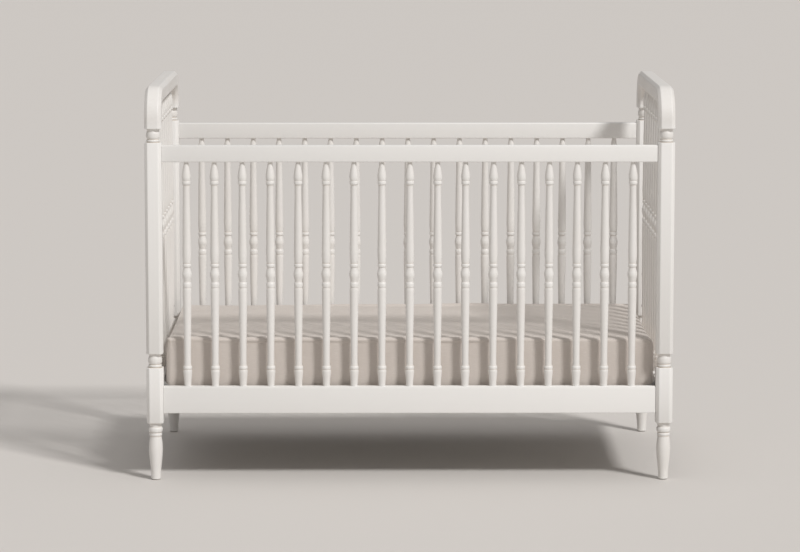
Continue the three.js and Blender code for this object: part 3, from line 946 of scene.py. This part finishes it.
# %% Support bolts
bolt_length = (bolt_high - bolt_low).y / MM
HEAD = 4.0
for side, sy in SIDES.items():
    for end in ENDS:
        node = f"{side}_{end}_support_bolt"
        low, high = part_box(node)
        radius = (high.x - low.x) / 2 / MM
        bm = socket_head(radius, HEAD, 3.0, bolt_length - HEAD, 4.0, threads=20)
        inner_face = high.y if sy < 0 else low.y
        place = Vector(((low.x + high.x) / 2, inner_face, (low.z + high.z) / 2))
        facing(bm, place, Vector((0, -sy, 0)))
        finish_piece(bm, node + "_plated", "crib", [ZINC_PLATE], [node])
print("support bolts", round(bolt_length, 1), "mm long")

# %% [markdown]
# Under each leg a nylon glide with a domed sole is driven into the end grain, so that the crib slides
# without marking the floor. It is thin, and the leg starts just above it.

# %% Glides
GLIDE_RADIUS = 10.5
for side, sy in SIDES.items():
    for end, sx in ENDS.items():
        low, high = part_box(f"{side}_{end}_post")
        outline = [(0, 5.0), (0.15, 7.5), (0.6, 9.3), (1.3, GLIDE_RADIUS), (GLIDE_HEIGHT - 0.1, GLIDE_RADIUS)]
        bm = spun(outline, 36)
        bmesh.ops.translate(bm, verts=bm.verts, vec=((low.x + high.x) / 2, (low.y + high.y) / 2, 0))
        finish_piece(bm, f"{side}_{end}_glide", "crib", [NYLON])
print("glides stand at", 0, "mm")

# %% [markdown]
# The mattress support is an angle-iron frame. Its section is an L: a flat flange that the wires rest on and
# a wall that hangs down outside. The ring here has only four corners, one at each corner of the frame, and
# it travels round the L: each stop gives how far in and how low the whole rectangle lies. The last stop
# meets the first, and merging them closes the frame.

# %% Support frame
frame_low, frame_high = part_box("support_frame")
IRON = 2.0
FLANGE = 25.0
FILLET = 1.6


def angle_section():
    """Stops round the L as (inset, drop) in millimetres, with a fillet inside its corner."""
    inner = [
        (IRON + FILLET * (1 - math.sin(t)), IRON + FILLET * (1 - math.cos(t)))
        for t in (math.pi / 2 * i / 4 for i in range(5))
    ]
    stops = [(0.0, 1.0), (0.3, 0.3), (1.0, 0.0), (FLANGE - 0.4, 0.0), (FLANGE, 0.4), (FLANGE, IRON - 0.4)]
    stops += [(FLANGE - 0.4, IRON)] + inner + [(IRON, FLANGE - 0.4), (IRON - 0.4, FLANGE), (0.4, FLANGE)]
    return stops + [(0.0, FLANGE - 0.4)]


def angle_ring(inset, drop):
    """The rectangle that one corner of the L makes round the whole frame."""

    def place(i):
        sx, sy = ((1, 1), (-1, 1), (-1, -1), (1, -1))[i]
        x, y = frame_high.x - inset * MM, frame_high.y - inset * MM
        return Vector((sx * x, sy * y, frame_high.z - drop * MM))

    return place


iron = loft(4, [angle_ring(inset, drop) for inset, drop in angle_section()], endless=True)
finish_piece(iron, "support_frame_iron", "support", [COATED_STEEL], ["support_frame"])
print("support frame", [round(v, 4) for v in (frame_high - frame_low)])

# %% [markdown]
# The deck is a grid of round wires. Long wires lie on the flange, and the cross wires are resistance-welded
# on top, pressed a little into them. Each wire is a plain round bar with its cut ends bevelled, and a small
# bead of metal is left at each weld.

# %% Wire deck
deck_low, deck_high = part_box("wire_deck")
WIRE_RADIUS = 2.0
LONG_WIRES = 7
CROSS_WIRES = 15
WIRE_SIDES = 14
WELD = 1.1


def wire(bm, start, end):
    """A round wire between two points, with its ends bevelled."""
    direction = (end - start).normalized()
    turn = Vector((0, 0, 1)).rotation_difference(direction).to_matrix().to_4x4()
    made = bmesh.ops.create_cone(
        bm, cap_ends=True, segments=WIRE_SIDES, radius1=WIRE_RADIUS * MM, radius2=WIRE_RADIUS * MM,
        depth=(end - start).length, matrix=Matrix.Translation((start + end) / 2) @ turn,
    )["verts"]
    rims = [e for e in bm.edges if e.verts[0] in made and len(e.link_faces) == 2
            and any(len(f.verts) > 4 for f in e.link_faces)]
    bmesh.ops.bevel(bm, geom=rims, offset=0.5 * MM, segments=2, profile=0.5, affect="EDGES", material=-1)


def weld(bm, place):
    """A low bead of metal where two wires cross."""
    made = bmesh.ops.create_uvsphere(bm, u_segments=8, v_segments=6, radius=WELD * WIRE_RADIUS * MM)["verts"]
    bmesh.ops.scale(bm, verts=made, vec=(1.25, 1.25, 0.75))
    bmesh.ops.translate(bm, verts=made, vec=place)


deck = bmesh.new()
reach_y = deck_high.y - 2 * WIRE_RADIUS * MM
reach_x = deck_high.x - 2 * WIRE_RADIUS * MM
long_z = deck_low.z + WIRE_RADIUS * MM
cross_z = deck_high.z - WIRE_RADIUS * MM
long_places = [reach_y * (2 * i / (LONG_WIRES - 1) - 1) for i in range(LONG_WIRES)]
cross_places = [reach_x * (2 * i / (CROSS_WIRES - 1) - 1) for i in range(CROSS_WIRES)]
for y in long_places:
    wire(deck, Vector((deck_low.x, y, long_z)), Vector((deck_high.x, y, long_z)))
for x in cross_places:
    wire(deck, Vector((x, deck_low.y, cross_z)), Vector((x, deck_high.y, cross_z)))
for x in cross_places:
    for y in long_places:
        weld(deck, Vector((x, y, (long_z + cross_z) / 2)))
finish_piece(deck, "wire_deck_welded", "support", [COATED_STEEL], ["wire_deck"])
print(len(long_places) + len(cross_places), "wires")

# %% [markdown]
# A hanger is cut from plate. A slot that is open below drops over the support bolt, a foot reaches down to
# the angle iron, and two domed rivets hold it there. The outline is drawn once for the +X end and mirrored,
# then the face is extruded to the plate's thickness and its edges are bevelled.

# %% Hangers
hanger_low, hanger_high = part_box("front_right_hanger")
PLATE = (hanger_high.y - hanger_low.y) / MM
SLOT = 3.5
SLOT_STEPS = 12
FOOT_WIDTH = 22.0
PLATE_EDGE = 16.0
TONGUE_DROP = 22.0
ARM = 15.0
ARM_DROP = 19.0
RIVET = 4.2


def hanger_outline(bolt_x, bolt_z):
    """The plate's outline in X and Z, in millimetres, for the +X end, anticlockwise from the foot."""
    left, foot = hanger_low.x / MM, hanger_low.z / MM
    foot_right = left + FOOT_WIDTH
    tongue = bolt_z - TONGUE_DROP
    points = [(left, foot), (foot_right, foot), (foot_right, tongue - ARM_DROP), (bolt_x - ARM, tongue)]
    points.append((bolt_x - SLOT, tongue))
    for i in range(SLOT_STEPS + 1):
        turn = math.pi - math.pi * i / SLOT_STEPS
        points.append((bolt_x + SLOT * math.cos(turn), bolt_z + SLOT * math.sin(turn)))
    right = bolt_x + PLATE_EDGE
    top = bolt_z + PLATE_EDGE
    points += [(bolt_x + SLOT, tongue), (right, tongue), (right, top - CHAMFER), (right - CHAMFER, top)]
    arm = bolt_x - POST_HALF
    arm_low = bolt_z - PLATE_EDGE
    return points + [(arm, top), (arm, arm_low), (left, arm_low - (arm - left))]


def hanger(sx, sy):
    bolt_x = (bolt_low.x + bolt_high.x) / -2 / MM
    bm = bmesh.new()
    outer = sy * max(abs(hanger_low.y), abs(hanger_high.y))
    outline = hanger_outline(bolt_x, first_level / MM)
    corners = [bm.verts.new((sx * x * MM, outer, z * MM)) for x, z in outline]
    face = bm.faces.new(corners)
    made = bmesh.ops.extrude_face_region(bm, geom=[face])["geom"]
    moved = [v for v in made if isinstance(v, bmesh.types.BMVert)]
    bmesh.ops.translate(bm, verts=moved, vec=(0, -sy * PLATE * MM, 0))
    bmesh.ops.recalc_face_normals(bm, faces=bm.faces)
    rims = [e for e in bm.edges if abs(e.verts[0].co.y - e.verts[1].co.y) < 1e-7]
    bmesh.ops.bevel(bm, geom=rims, offset=0.35 * MM, segments=2, profile=0.5, affect="EDGES", material=-1)
    return bm


def rivet():
    """A domed rivet head on Z, with a short shank into the plates."""
    outline = [(-4.6, RIVET * 0.5), (-0.2, RIVET * 0.5), (0, RIVET), (0.35, RIVET)]
    turns = [math.pi / 2 * i / 6 for i in range(1, 6)]
    outline += [(0.35 + 1.1 * math.sin(t), RIVET * math.cos(t)) for t in turns]
    return spun(outline, 24)


for side, sy in SIDES.items():
    for end, sx in ENDS.items():
        node = f"{side}_{end}_hanger"
        finish_piece(hanger(sx, sy), node + "_cut", "support", [COATED_STEEL], [node])
        outer = sy * max(abs(hanger_low.y), abs(hanger_high.y))
        for i, shift in enumerate((-6.0, 6.0)):
            centre = (hanger_low.x / MM + FOOT_WIDTH / 2 + shift) * MM
            place = Vector((sx * centre, outer, (frame_low.z + frame_high.z) / 2))
            bm = facing(rivet(), place, Vector((0, sy, 0)))
            finish_piece(bm, f"{side}_{end}_rivet_{i + 1}", "support", [ZINC_PLATE])
print("plate", round(PLATE, 2), "mm thick")

# %% [markdown]
# The mattress is a firm foam core in a sewn cover, so it is nearly a block, but air and foam push its faces
# out a few millimetres, and its edges hold them in. The cloth solver gives that crown: a slightly smaller
# rounded block is remeshed evenly, its skin is blown up with a little pressure and no gravity, and no point
# may move further than a cap, or sideways into the block. The remesh softens the upright corners, so they
# are drawn out again. The underside is pressed flat, because it lies on the wires.

# %% A rounded block, blown up
FABRIC_GRID = 14 * MM
PRESSURE = 4.0
FRAMES = 20


def rounded_block(low, high, corner_round, edge_round):
    """A block with rounds at its four upright edges and at its rims."""
    bm = bmesh.new()
    bmesh.ops.create_cube(bm, size=1)
    bmesh.ops.scale(bm, verts=bm.verts, vec=high - low)
    bmesh.ops.translate(bm, verts=bm.verts, vec=(low + high) / 2)
    upright = [e for e in bm.edges if abs((e.verts[0].co - e.verts[1].co).z) > 1e-6]
    bmesh.ops.bevel(
        bm, geom=upright, offset=corner_round, segments=10, profile=0.5, affect="EDGES", material=-1
    )
    bm.normal_update()
    rims = [e for e in bm.edges if abs(sum(abs(f.normal.z) for f in e.link_faces) - 1) < 0.1]
    bmesh.ops.bevel(bm, geom=rims, offset=edge_round, segments=4, profile=0.5, affect="EDGES", material=-1)
    return bm


def blown_up(piece, cap):
    """Remeshes a piece evenly and inflates it as cloth, each point by cap at most."""
    remesh = piece.modifiers.new("even_grid", "REMESH")
    remesh.mode = "VOXEL"
    remesh.voxel_size = FABRIC_GRID
    settled(piece)
    start = [vertex.co.copy() for vertex in piece.data.vertices]
    cloth = piece.modifiers.new("skin", "CLOTH")
    cloth.settings.quality = 6
    cloth.settings.mass = 0.3
    cloth.settings.bending_stiffness = 0.6
    cloth.settings.use_pressure = True
    cloth.settings.uniform_pressure_force = PRESSURE
    cloth.settings.effector_weights.gravity = 0
    cloth.point_cache.frame_start = 1
    cloth.point_cache.frame_end = FRAMES
    for number in range(1, FRAMES + 1):
        bpy.context.scene.frame_set(number)
    settled(piece)
    bpy.context.scene.frame_set(1)
    for vertex, place in zip(piece.data.vertices, start):
        move = vertex.co - place
        vertex.co = place + move * min(1, cap / max(move.length, 1e-9))
        for axis in range(2):
            if abs(vertex.co[axis]) < abs(place[axis]):
                vertex.co[axis] = place[axis]
    return piece


print("the skin is remeshed at", round(FABRIC_GRID / MM), "mm")

# %% Mattress core
mattress_low, mattress_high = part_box("mattress")
CORE_INSET = Vector((1.3, 2.0, 2.5)) * MM
CORE_ROUND = 15 * MM
START_ROUND = 5 * MM
START_RIM = 4 * MM
CROWN = 3.5 * MM
UNDERSIDE = mattress_low.z + 2.2 * MM
HANGER_REACH = hanger_low.x - 12 * MM
HANGER_TOP = hanger_high.z + 8 * MM
HANGER_ROOM = min(abs(hanger_low.y), abs(hanger_high.y))
FREE_SIDE = HANGER_ROOM + 8 * MM
END_ROOM = -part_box("left_end_arch")[1].x - 0.5 * MM
core_mesh = bpy.data.meshes.new("mattress_padded")
core_bm = rounded_block(mattress_low + CORE_INSET, mattress_high - CORE_INSET, START_ROUND, START_RIM)
core_bm.to_mesh(core_mesh)
core_bm.free()
mattress = bpy.data.objects.new("mattress_padded", core_mesh)
bpy.context.scene.collection.objects.link(mattress)
blown_up(mattress, CROWN)


def within(place, end_limit, side_room):
    """Keeps a point clear of the arches at the ends, and clear of the hangers near the corners."""
    near_hanger = abs(place.x) > HANGER_REACH and place.z < HANGER_TOP
    side_limit = HANGER_ROOM - side_room if near_hanger else FREE_SIDE - side_room
    place.x = max(-end_limit, min(end_limit, place.x))
    place.y = max(-side_limit, min(side_limit, place.y))
    return place


reach = [max(abs(v.co[axis]) for v in mattress.data.vertices) for axis in range(3)]
SOFT_ROUND = 24 * MM
SHARPER = 0.55


def squared(place):
    """Pulls the remeshed block's soft upright corners out to tighter ones, as firm foam keeps them."""
    u = (abs(place.x) - reach[0] + SOFT_ROUND) / SOFT_ROUND
    v = (abs(place.y) - reach[1] + SOFT_ROUND) / SOFT_ROUND
    if min(u, v) <= 0:
        return place
    stretch = 1 + SHARPER * (math.hypot(u, v) / max(u, v) - 1)
    place.x = math.copysign(min(reach[0], reach[0] + SOFT_ROUND * (u * stretch - 1)), place.x)
    place.y = math.copysign(min(reach[1], reach[1] + SOFT_ROUND * (v * stretch - 1)), place.y)
    return place


for vertex in mattress.data.vertices:
    vertex.co = within(squared(vertex.co), END_ROOM - 2 * MM, 2.2 * MM)
    vertex.co.z = max(vertex.co.z, UNDERSIDE)
print("mattress reaches", [round(r, 4) for r in reach], "with", len(mattress.data.polygons), "faces")

# %% [markdown]
# The fitted sheet is a jersey rectangle with its corners cut out and sewn, pulled over the mattress and
# held under it by an elastic hem. It lies on the mattress all over, so it starts as a copy of the
# mattress's skin, moved outwards a little, with an opening underneath. Its wrinkles come from how it is
# pulled, so each sort is a small formula on the flat cloth: long streaks on the top, the welt of the cover
# along the top edge, folds that point at the corners, and gathers at the elastic.

# %% The flat cloth
sheet_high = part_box("fitted_sheet")[1]
SHEET_TOP = max(v.co.z for v in mattress.data.vertices)
TUCK = 50 * MM


def smooth_step(value, low, high):
    """0 up to low, 1 from high on, and a smooth change between them."""
    share = min(1, max(0, (value - low) / (high - low)))
    return share * share * (3 - 2 * share)


def outward(x, y):
    """The direction out of the mattress in plan; none over the middle."""
    flat_x, flat_y = sheet_high.x - CORE_ROUND, sheet_high.y - CORE_ROUND
    away = Vector((x - max(-flat_x, min(flat_x, x)), y - max(-flat_y, min(flat_y, y))))
    return away.normalized() if away.length > 1e-6 else Vector((0, 0))


def on_flat_cloth(place):
    """Where a point of the fitted sheet was on the flat cloth."""
    pull = outward(place.x, place.y) * (SHEET_TOP - place.z)
    return Vector((place.x + pull.x, place.y + pull.y, 0))


print("the top of the mattress is at", round(SHEET_TOP, 4))

# %% Wrinkles
STREAK = 1.7 * MM
PIPING = 6.0 * MM
PIPING_BAND = 26 * MM
CORNER_FOLD = 1.5 * MM
CORNER_REACH = 0.11
GATHER = 1.7 * MM
GATHER_PITCH = 21 * MM


def piping(place, drop):
    """The welt along the top edge; it shows through the cloth and fades to the right of each side."""
    share = 1 - 0.85 * smooth_step(place.x * math.copysign(1, -place.y), 0.05, 0.5)
    waver = drop - 2.5 * MM * noise.noise(Vector((place.x * 6, place.y * 2, 5.1)))
    rise = smooth_step(waver, 0.3 * MM, 4 * MM)
    fall = 1 - smooth_step(waver, 6.5 * MM, 10 * MM)
    swell = 0.8 + 0.5 * noise.noise(Vector((place.x * 11, 0.4, 2.2)))
    return PIPING * share * rise * fall * swell * smooth_step(abs(place.y), 0.3, 0.325)


def wrinkle(place):
    """How far the cloth stands off the mattress at a point."""
    flat = on_flat_cloth(place)
    drop = SHEET_TOP - place.z
    on_top = 1 - smooth_step(drop, 0, 18 * MM)
    near_long_edge = smooth_step(abs(place.y), 0.12, 0.33)
    streaks = noise.noise(Vector((flat.x * 2.6, flat.y * 21, 0.3))) + 0.5 * noise.noise(flat * 7)
    height = STREAK * max(0, streaks) * on_top * (0.45 + 0.55 * near_long_edge)
    height += piping(place, drop)
    from_corner = Vector((sheet_high.x - 12 * MM - abs(place.x), sheet_high.y - 12 * MM - abs(place.y)))
    turn = math.atan2(from_corner.y, from_corner.x)
    fan = 0.5 + 0.5 * math.sin(9 * turn + 4 * noise.noise(Vector((place.x * 3, place.y * 3, 8))))
    near_corner = math.exp(-(from_corner.length / CORNER_REACH) ** 2)
    height += CORNER_FOLD * fan * near_corner * smooth_step(drop, 150 * MM, 60 * MM)
    along = flat.x + flat.y + 0.03 * noise.noise(flat * 12)
    gather = 0.5 + 0.5 * math.sin(FULL_TURN * along / GATHER_PITCH)
    beneath = smooth_step(place.z, UNDERSIDE + 6 * MM, UNDERSIDE)
    height += GATHER * gather * smooth_step(drop, 0.1, 0.14) * (1 - 0.65 * beneath)
    return height


print("the welt stands", round(PIPING / MM, 1), "mm proud")

# %% [markdown]
# Jersey is knitted from soft yarn. From near it shows fine columns of stitches, from further away only a
# little unevenness of tone and a velvety edge against the light, which the sheen gives. The columns follow
# the flat cloth, so its place on the flat cloth is stored on every point of the sheet, and the finish reads
# that.

# %% Fabrics
SHEET_COLOUR = (0.66, 0.605, 0.56, 1)
SHEET_SHADE = (0.53, 0.47, 0.42, 1)
SHEET_THREAD = (0.74, 0.69, 0.655, 1)
STITCH = 1.3 * MM


def jersey(place_of):
    finish = Finish("sheet_jersey")
    cloth = place_of(finish)
    scale = 1 / STITCH
    stitches = finish.add(
        "ShaderNodeTexWave", {"wave_type": "BANDS", "bands_direction": "X", "wave_profile": "SIN"},
        {"Vector": cloth, "Scale": scale / 3.2, "Distortion": 1.5, "Detail": 1.0, "Detail Scale": 2.0},
        output=1,
    )
    courses = finish.add(
        "ShaderNodeTexWave", {"wave_type": "BANDS", "bands_direction": "Y", "wave_profile": "SIN"},
        {"Vector": cloth, "Scale": scale / 2.2, "Distortion": 1.0, "Detail": 1.0, "Detail Scale": 2.0},
        output=1,
    )
    slub_place = finish.add("ShaderNodeMapping", sockets={"Vector": cloth, "Scale": (60, 700, 60)})
    slub = finish.noise(slub_place, detail=3.0)
    broad_place = finish.add("ShaderNodeMapping", sockets={"Vector": cloth, "Scale": (9, 9, 9)})
    tone = finish.noise(broad_place, detail=3.0)
    yarn = stitches * 0.6 + courses * 0.4
    colour = finish.mix(finish.range(yarn, 0.2, 0.8, 0.45, 0.0), SHEET_COLOUR, SHEET_SHADE)
    colour = finish.mix(finish.range(slub, 0.5, 0.75, 0.0, 0.5), colour, SHEET_THREAD)
    colour = finish.mix(finish.range(tone, 0.35, 0.65, 0.0, 0.22), colour, SHEET_SHADE)
    roughness = finish.range(slub, 0.3, 0.7, 0.86, 0.97)
    height = yarn * 0.7 + slub * 0.4
    finish.set(Sheen_Weight=0.35, Sheen_Roughness=0.45, Sheen_Tint=(1.0, 0.97, 0.93, 1))
    return finish.set(Base_Color=colour, Roughness=roughness, Normal=finish.bump(height, 0.00025, 0.7))


def flat_place(finish):
    """The point's place on the flat cloth, from the mesh's attribute."""
    return finish.add("ShaderNodeAttribute", {"attribute_name": "cloth"}, output=1)


def ticking():
    """The mattress's cover: a smooth closely woven polyester with a faint twill."""
    finish = Finish("mattress_ticking")
    here = finish.place([1.0] * 3)
    turned = finish.add("ShaderNodeMapping", sockets={"Vector": here, "Rotation": (0, 0, math.radians(45))})
    twill = finish.add(
        "ShaderNodeTexWave", {"wave_type": "BANDS", "bands_direction": "X", "wave_profile": "SIN"},
        {"Vector": turned, "Scale": 420.0, "Distortion": 0.6, "Detail": 1.0}, output=1,
    )
    tone = finish.noise(finish.place([14.0] * 3), detail=3.0)
    thread = finish.noise(finish.place([1100.0, 140.0, 300.0]), detail=2.0)
    colour = finish.mix(twill, (0.60, 0.59, 0.565, 1), (0.72, 0.71, 0.69, 1))
    colour = finish.mix(finish.range(tone, 0.35, 0.65, 0.0, 0.25), colour, (0.56, 0.54, 0.5, 1))
    roughness = finish.range(thread, 0.3, 0.7, 0.62, 0.78)
    height = twill * 0.6 + thread * 0.4
    finish.set(Sheen_Weight=0.15)
    return finish.set(Base_Color=colour, Roughness=roughness, Normal=finish.bump(height, 0.0002, 0.6))


JERSEY = jersey(flat_place)
TICKING = ticking()
print("fabrics are ready")

# %% Fitted sheet
EASE_OFF = 0.8 * MM
CLOTH_THICKNESS = 0.7 * MM

sheet_bm = bmesh.new()
sheet_bm.from_mesh(mattress.data)
sheet_bm.normal_update()
opening = (reach[0] - TUCK, reach[1] - TUCK)


def in_opening(place):
    return abs(place.x) < opening[0] and abs(place.y) < opening[1]


gone = [f for f in sheet_bm.faces if f.normal.z < -0.7 and in_opening(f.calc_center_median())]
bmesh.ops.delete(sheet_bm, geom=gone, context="FACES")
sheet = finish_piece(
    sheet_bm, "fitted_sheet_jersey", "mattress", [JERSEY], ["fitted_sheet"], math.pi
)
smoother = sheet.modifiers.new("finer_grid", "SUBSURF")
smoother.levels = 1
smoother.render_levels = 1
settled(sheet)

cloth_bm = bmesh.new()
cloth_bm.from_mesh(sheet.data)
band = [
    e for e in cloth_bm.edges
    if all(1 * MM < SHEET_TOP - v.co.z < PIPING_BAND and abs(v.co.y) > reach[1] - 60 * MM for v in e.verts)
]
bmesh.ops.subdivide_edges(cloth_bm, edges=band, cuts=1, use_grid_fill=True, smooth=0.4)
cloth_bm.normal_update()
flat_layer = cloth_bm.verts.layers.float_vector.new("cloth")
moved = []
for vertex in cloth_bm.verts:
    vertex[flat_layer] = on_flat_cloth(vertex.co)
    moved.append(vertex.co + vertex.normal * (EASE_OFF + wrinkle(vertex.co)))
for vertex, place in zip(cloth_bm.verts, moved):
    vertex.co = within(place, END_ROOM - CLOTH_THICKNESS, CLOTH_THICKNESS + 0.4 * MM)
cloth_bm.to_mesh(sheet.data)
cloth_bm.free()
sheet.data.shade_smooth()
thickness = sheet.modifiers.new("thickness", "SOLIDIFY")
thickness.thickness = CLOTH_THICKNESS
thickness.offset = 1
print("fitted sheet", len(sheet.data.polygons), "faces, opening", [round(2 * o, 3) for o in opening])

# %% [markdown]
# The mattress's cover is quilted in diamonds, which shows where the sheet leaves the underside open. The
# seams are pressed in after the inflation and one subdivision, so that the solver and the remesh can't
# smooth them away, and the sheet over the top stays smooth, as it does over a real cover.

# %% Quilting
DIAMOND = 85 * MM
SEAM_DEPTH = 1.6 * MM
SEAM_WIDTH = 6.5 * MM
smoother = mattress.modifiers.new("finer_grid", "SUBSURF")
smoother.levels = 1
smoother.render_levels = 1
settled(mattress)


def seam_depth(place):
    """How deep the stitching pulls the cover in at a point of the underside."""
    deep = 0
    for diagonal in (place.x + place.y, place.x - place.y):
        from_seam = abs((diagonal / DIAMOND + 0.5) % 1 - 0.5) * DIAMOND / math.sqrt(2)
        deep = max(deep, math.exp(-((from_seam / SEAM_WIDTH) ** 2)))
    return SEAM_DEPTH * deep


for vertex in mattress.data.vertices:
    if vertex.co.z < UNDERSIDE + 3 * MM:
        vertex.co.z += seam_depth(vertex.co)
mattress.data.shade_smooth()
mattress.data.materials.clear()
mattress.data.materials.append(TICKING)
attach(mattress, "mattress")
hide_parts("mattress")
print("mattress", len(mattress.data.polygons), "faces")

# %% [markdown]
# The sheet's two other pieces follow its surface: an overlocked seam down each corner, and a tunnel hem
# with the elastic in it round the opening. Both are a small oval section swept along a path. The path of a
# corner seam is found by casting rays from outside at the finished cloth, and then smoothed a little, as
# thread under tension smooths the folds below it.

# %% Corner seams
OVAL_CORNERS = 10


def oval_ring(centre, across, out, width, height):
    """A ring of an oval section, width along across and height along out."""

    def place(i):
        turn = FULL_TURN * i / OVAL_CORNERS
        return centre + across * (math.cos(turn) * width / 2) + out * (math.sin(turn) * height / 2)

    return place


SEAM_STEPS = 90
SEAM_FROM = math.radians(83)
SEAM_TO = math.radians(-80)
SEAM_WIDE = 2.0 * MM
SEAM_HIGH = 0.9 * MM
graph = bpy.context.evaluated_depsgraph_get()
sheet_now = sheet.evaluated_get(graph)
with_sheet = []
for side, sy in SIDES.items():
    for end, sx in ENDS.items():
        middle = Vector((sx * (sheet_high.x - CORE_ROUND), sy * (sheet_high.y - CORE_ROUND), 0))
        away = Vector((sx, sy, 0)).normalized()
        across = Vector((-away.y, away.x, 0))
        path = []
        heart = middle + Vector((0, 0, (SHEET_TOP + UNDERSIDE) / 2))
        for i in range(SEAM_STEPS + 1):
            turn = SEAM_FROM + (SEAM_TO - SEAM_FROM) * i / SEAM_STEPS
            ray = (away * math.cos(turn) + Vector((0, 0, math.sin(turn)))).normalized()
            hit, place, _, _ = sheet_now.ray_cast(heart + ray * 0.3, -ray)
            if hit:
                path.append(place)
        for _ in range(16):
            path = path[:1] + [(a + 2 * b + c) / 4 for a, b, c in zip(path, path[1:], path[2:])] + path[-1:]
        rings = []
        for before, here, after in zip(path, path[1:], path[2:]):
            out = (after - before).cross(across).normalized()
            rings.append(oval_ring(here, across, out, SEAM_WIDE, SEAM_HIGH))
        bm = loft(OVAL_CORNERS, rings)
        name = f"{side}_{end}_corner_seam"
        with_sheet.append(finish_piece(bm, name, "mattress", [JERSEY], corner=math.pi))
print(len(with_sheet), "corner seams")

# %% Elastic hem
HEM_WIDE = 11 * MM
HEM_HIGH = 2.0 * MM
HEM_STEPS = 720
HEM_SQUARENESS = 12


def hem_path(share):
    """A point on the opening's rounded rectangle and its outward direction, for a share of a full turn."""
    turn = FULL_TURN * share
    ray = Vector((math.cos(turn), math.sin(turn)))
    half = Vector((opening[0], opening[1]))
    power = HEM_SQUARENESS
    reach = ((abs(ray.x) / half.x) ** power + (abs(ray.y) / half.y) ** power) ** (-1 / power)
    point = ray * reach
    slope = Vector((
        math.copysign(abs(point.x / half.x) ** (power - 1) / half.x, point.x),
        math.copysign(abs(point.y / half.y) ** (power - 1) / half.y, point.y),
    ))
    return point, slope.normalized()


rings = []
for i in range(HEM_STEPS):
    point, out = hem_path(i / HEM_STEPS)
    ripple = 0.2 * MM * math.sin(FULL_TURN * (point.x + point.y) / GATHER_PITCH * 1.5)
    centre = Vector((point.x, point.y, UNDERSIDE - 1.6 * MM + ripple))
    rings.append(oval_ring(centre, Vector((out.x, out.y, 0)), Vector((0, 0, 1)), HEM_WIDE, HEM_HIGH))
hem_bm = loft(OVAL_CORNERS, rings, endless=True)
with_sheet.append(
    finish_piece(hem_bm, "elastic_hem", "mattress", [JERSEY], corner=math.pi)
)
print("hem of", HEM_STEPS, "rings")

# %% The sheet as cloth
for piece in with_sheet:
    layer = piece.data.attributes.new("cloth", "FLOAT_VECTOR", "POINT")
    for vertex, item in zip(piece.data.vertices, layer.data):
        item.vector = vertex.co
flat_length = 2 * (reach[0] + TUCK) + 2 * (SHEET_TOP - UNDERSIDE)
flat_width = 2 * (reach[1] + TUCK) + 2 * (SHEET_TOP - UNDERSIDE)
cut_corner = SHEET_TOP - UNDERSIDE + TUCK
flat_area = flat_length * flat_width - 4 * cut_corner ** 2
cut_size = [round(flat_length, 3), round(flat_width, 3), round(flat_area, 3)]
print("sheet cut to length, width and area", cut_size)

# %% [markdown]
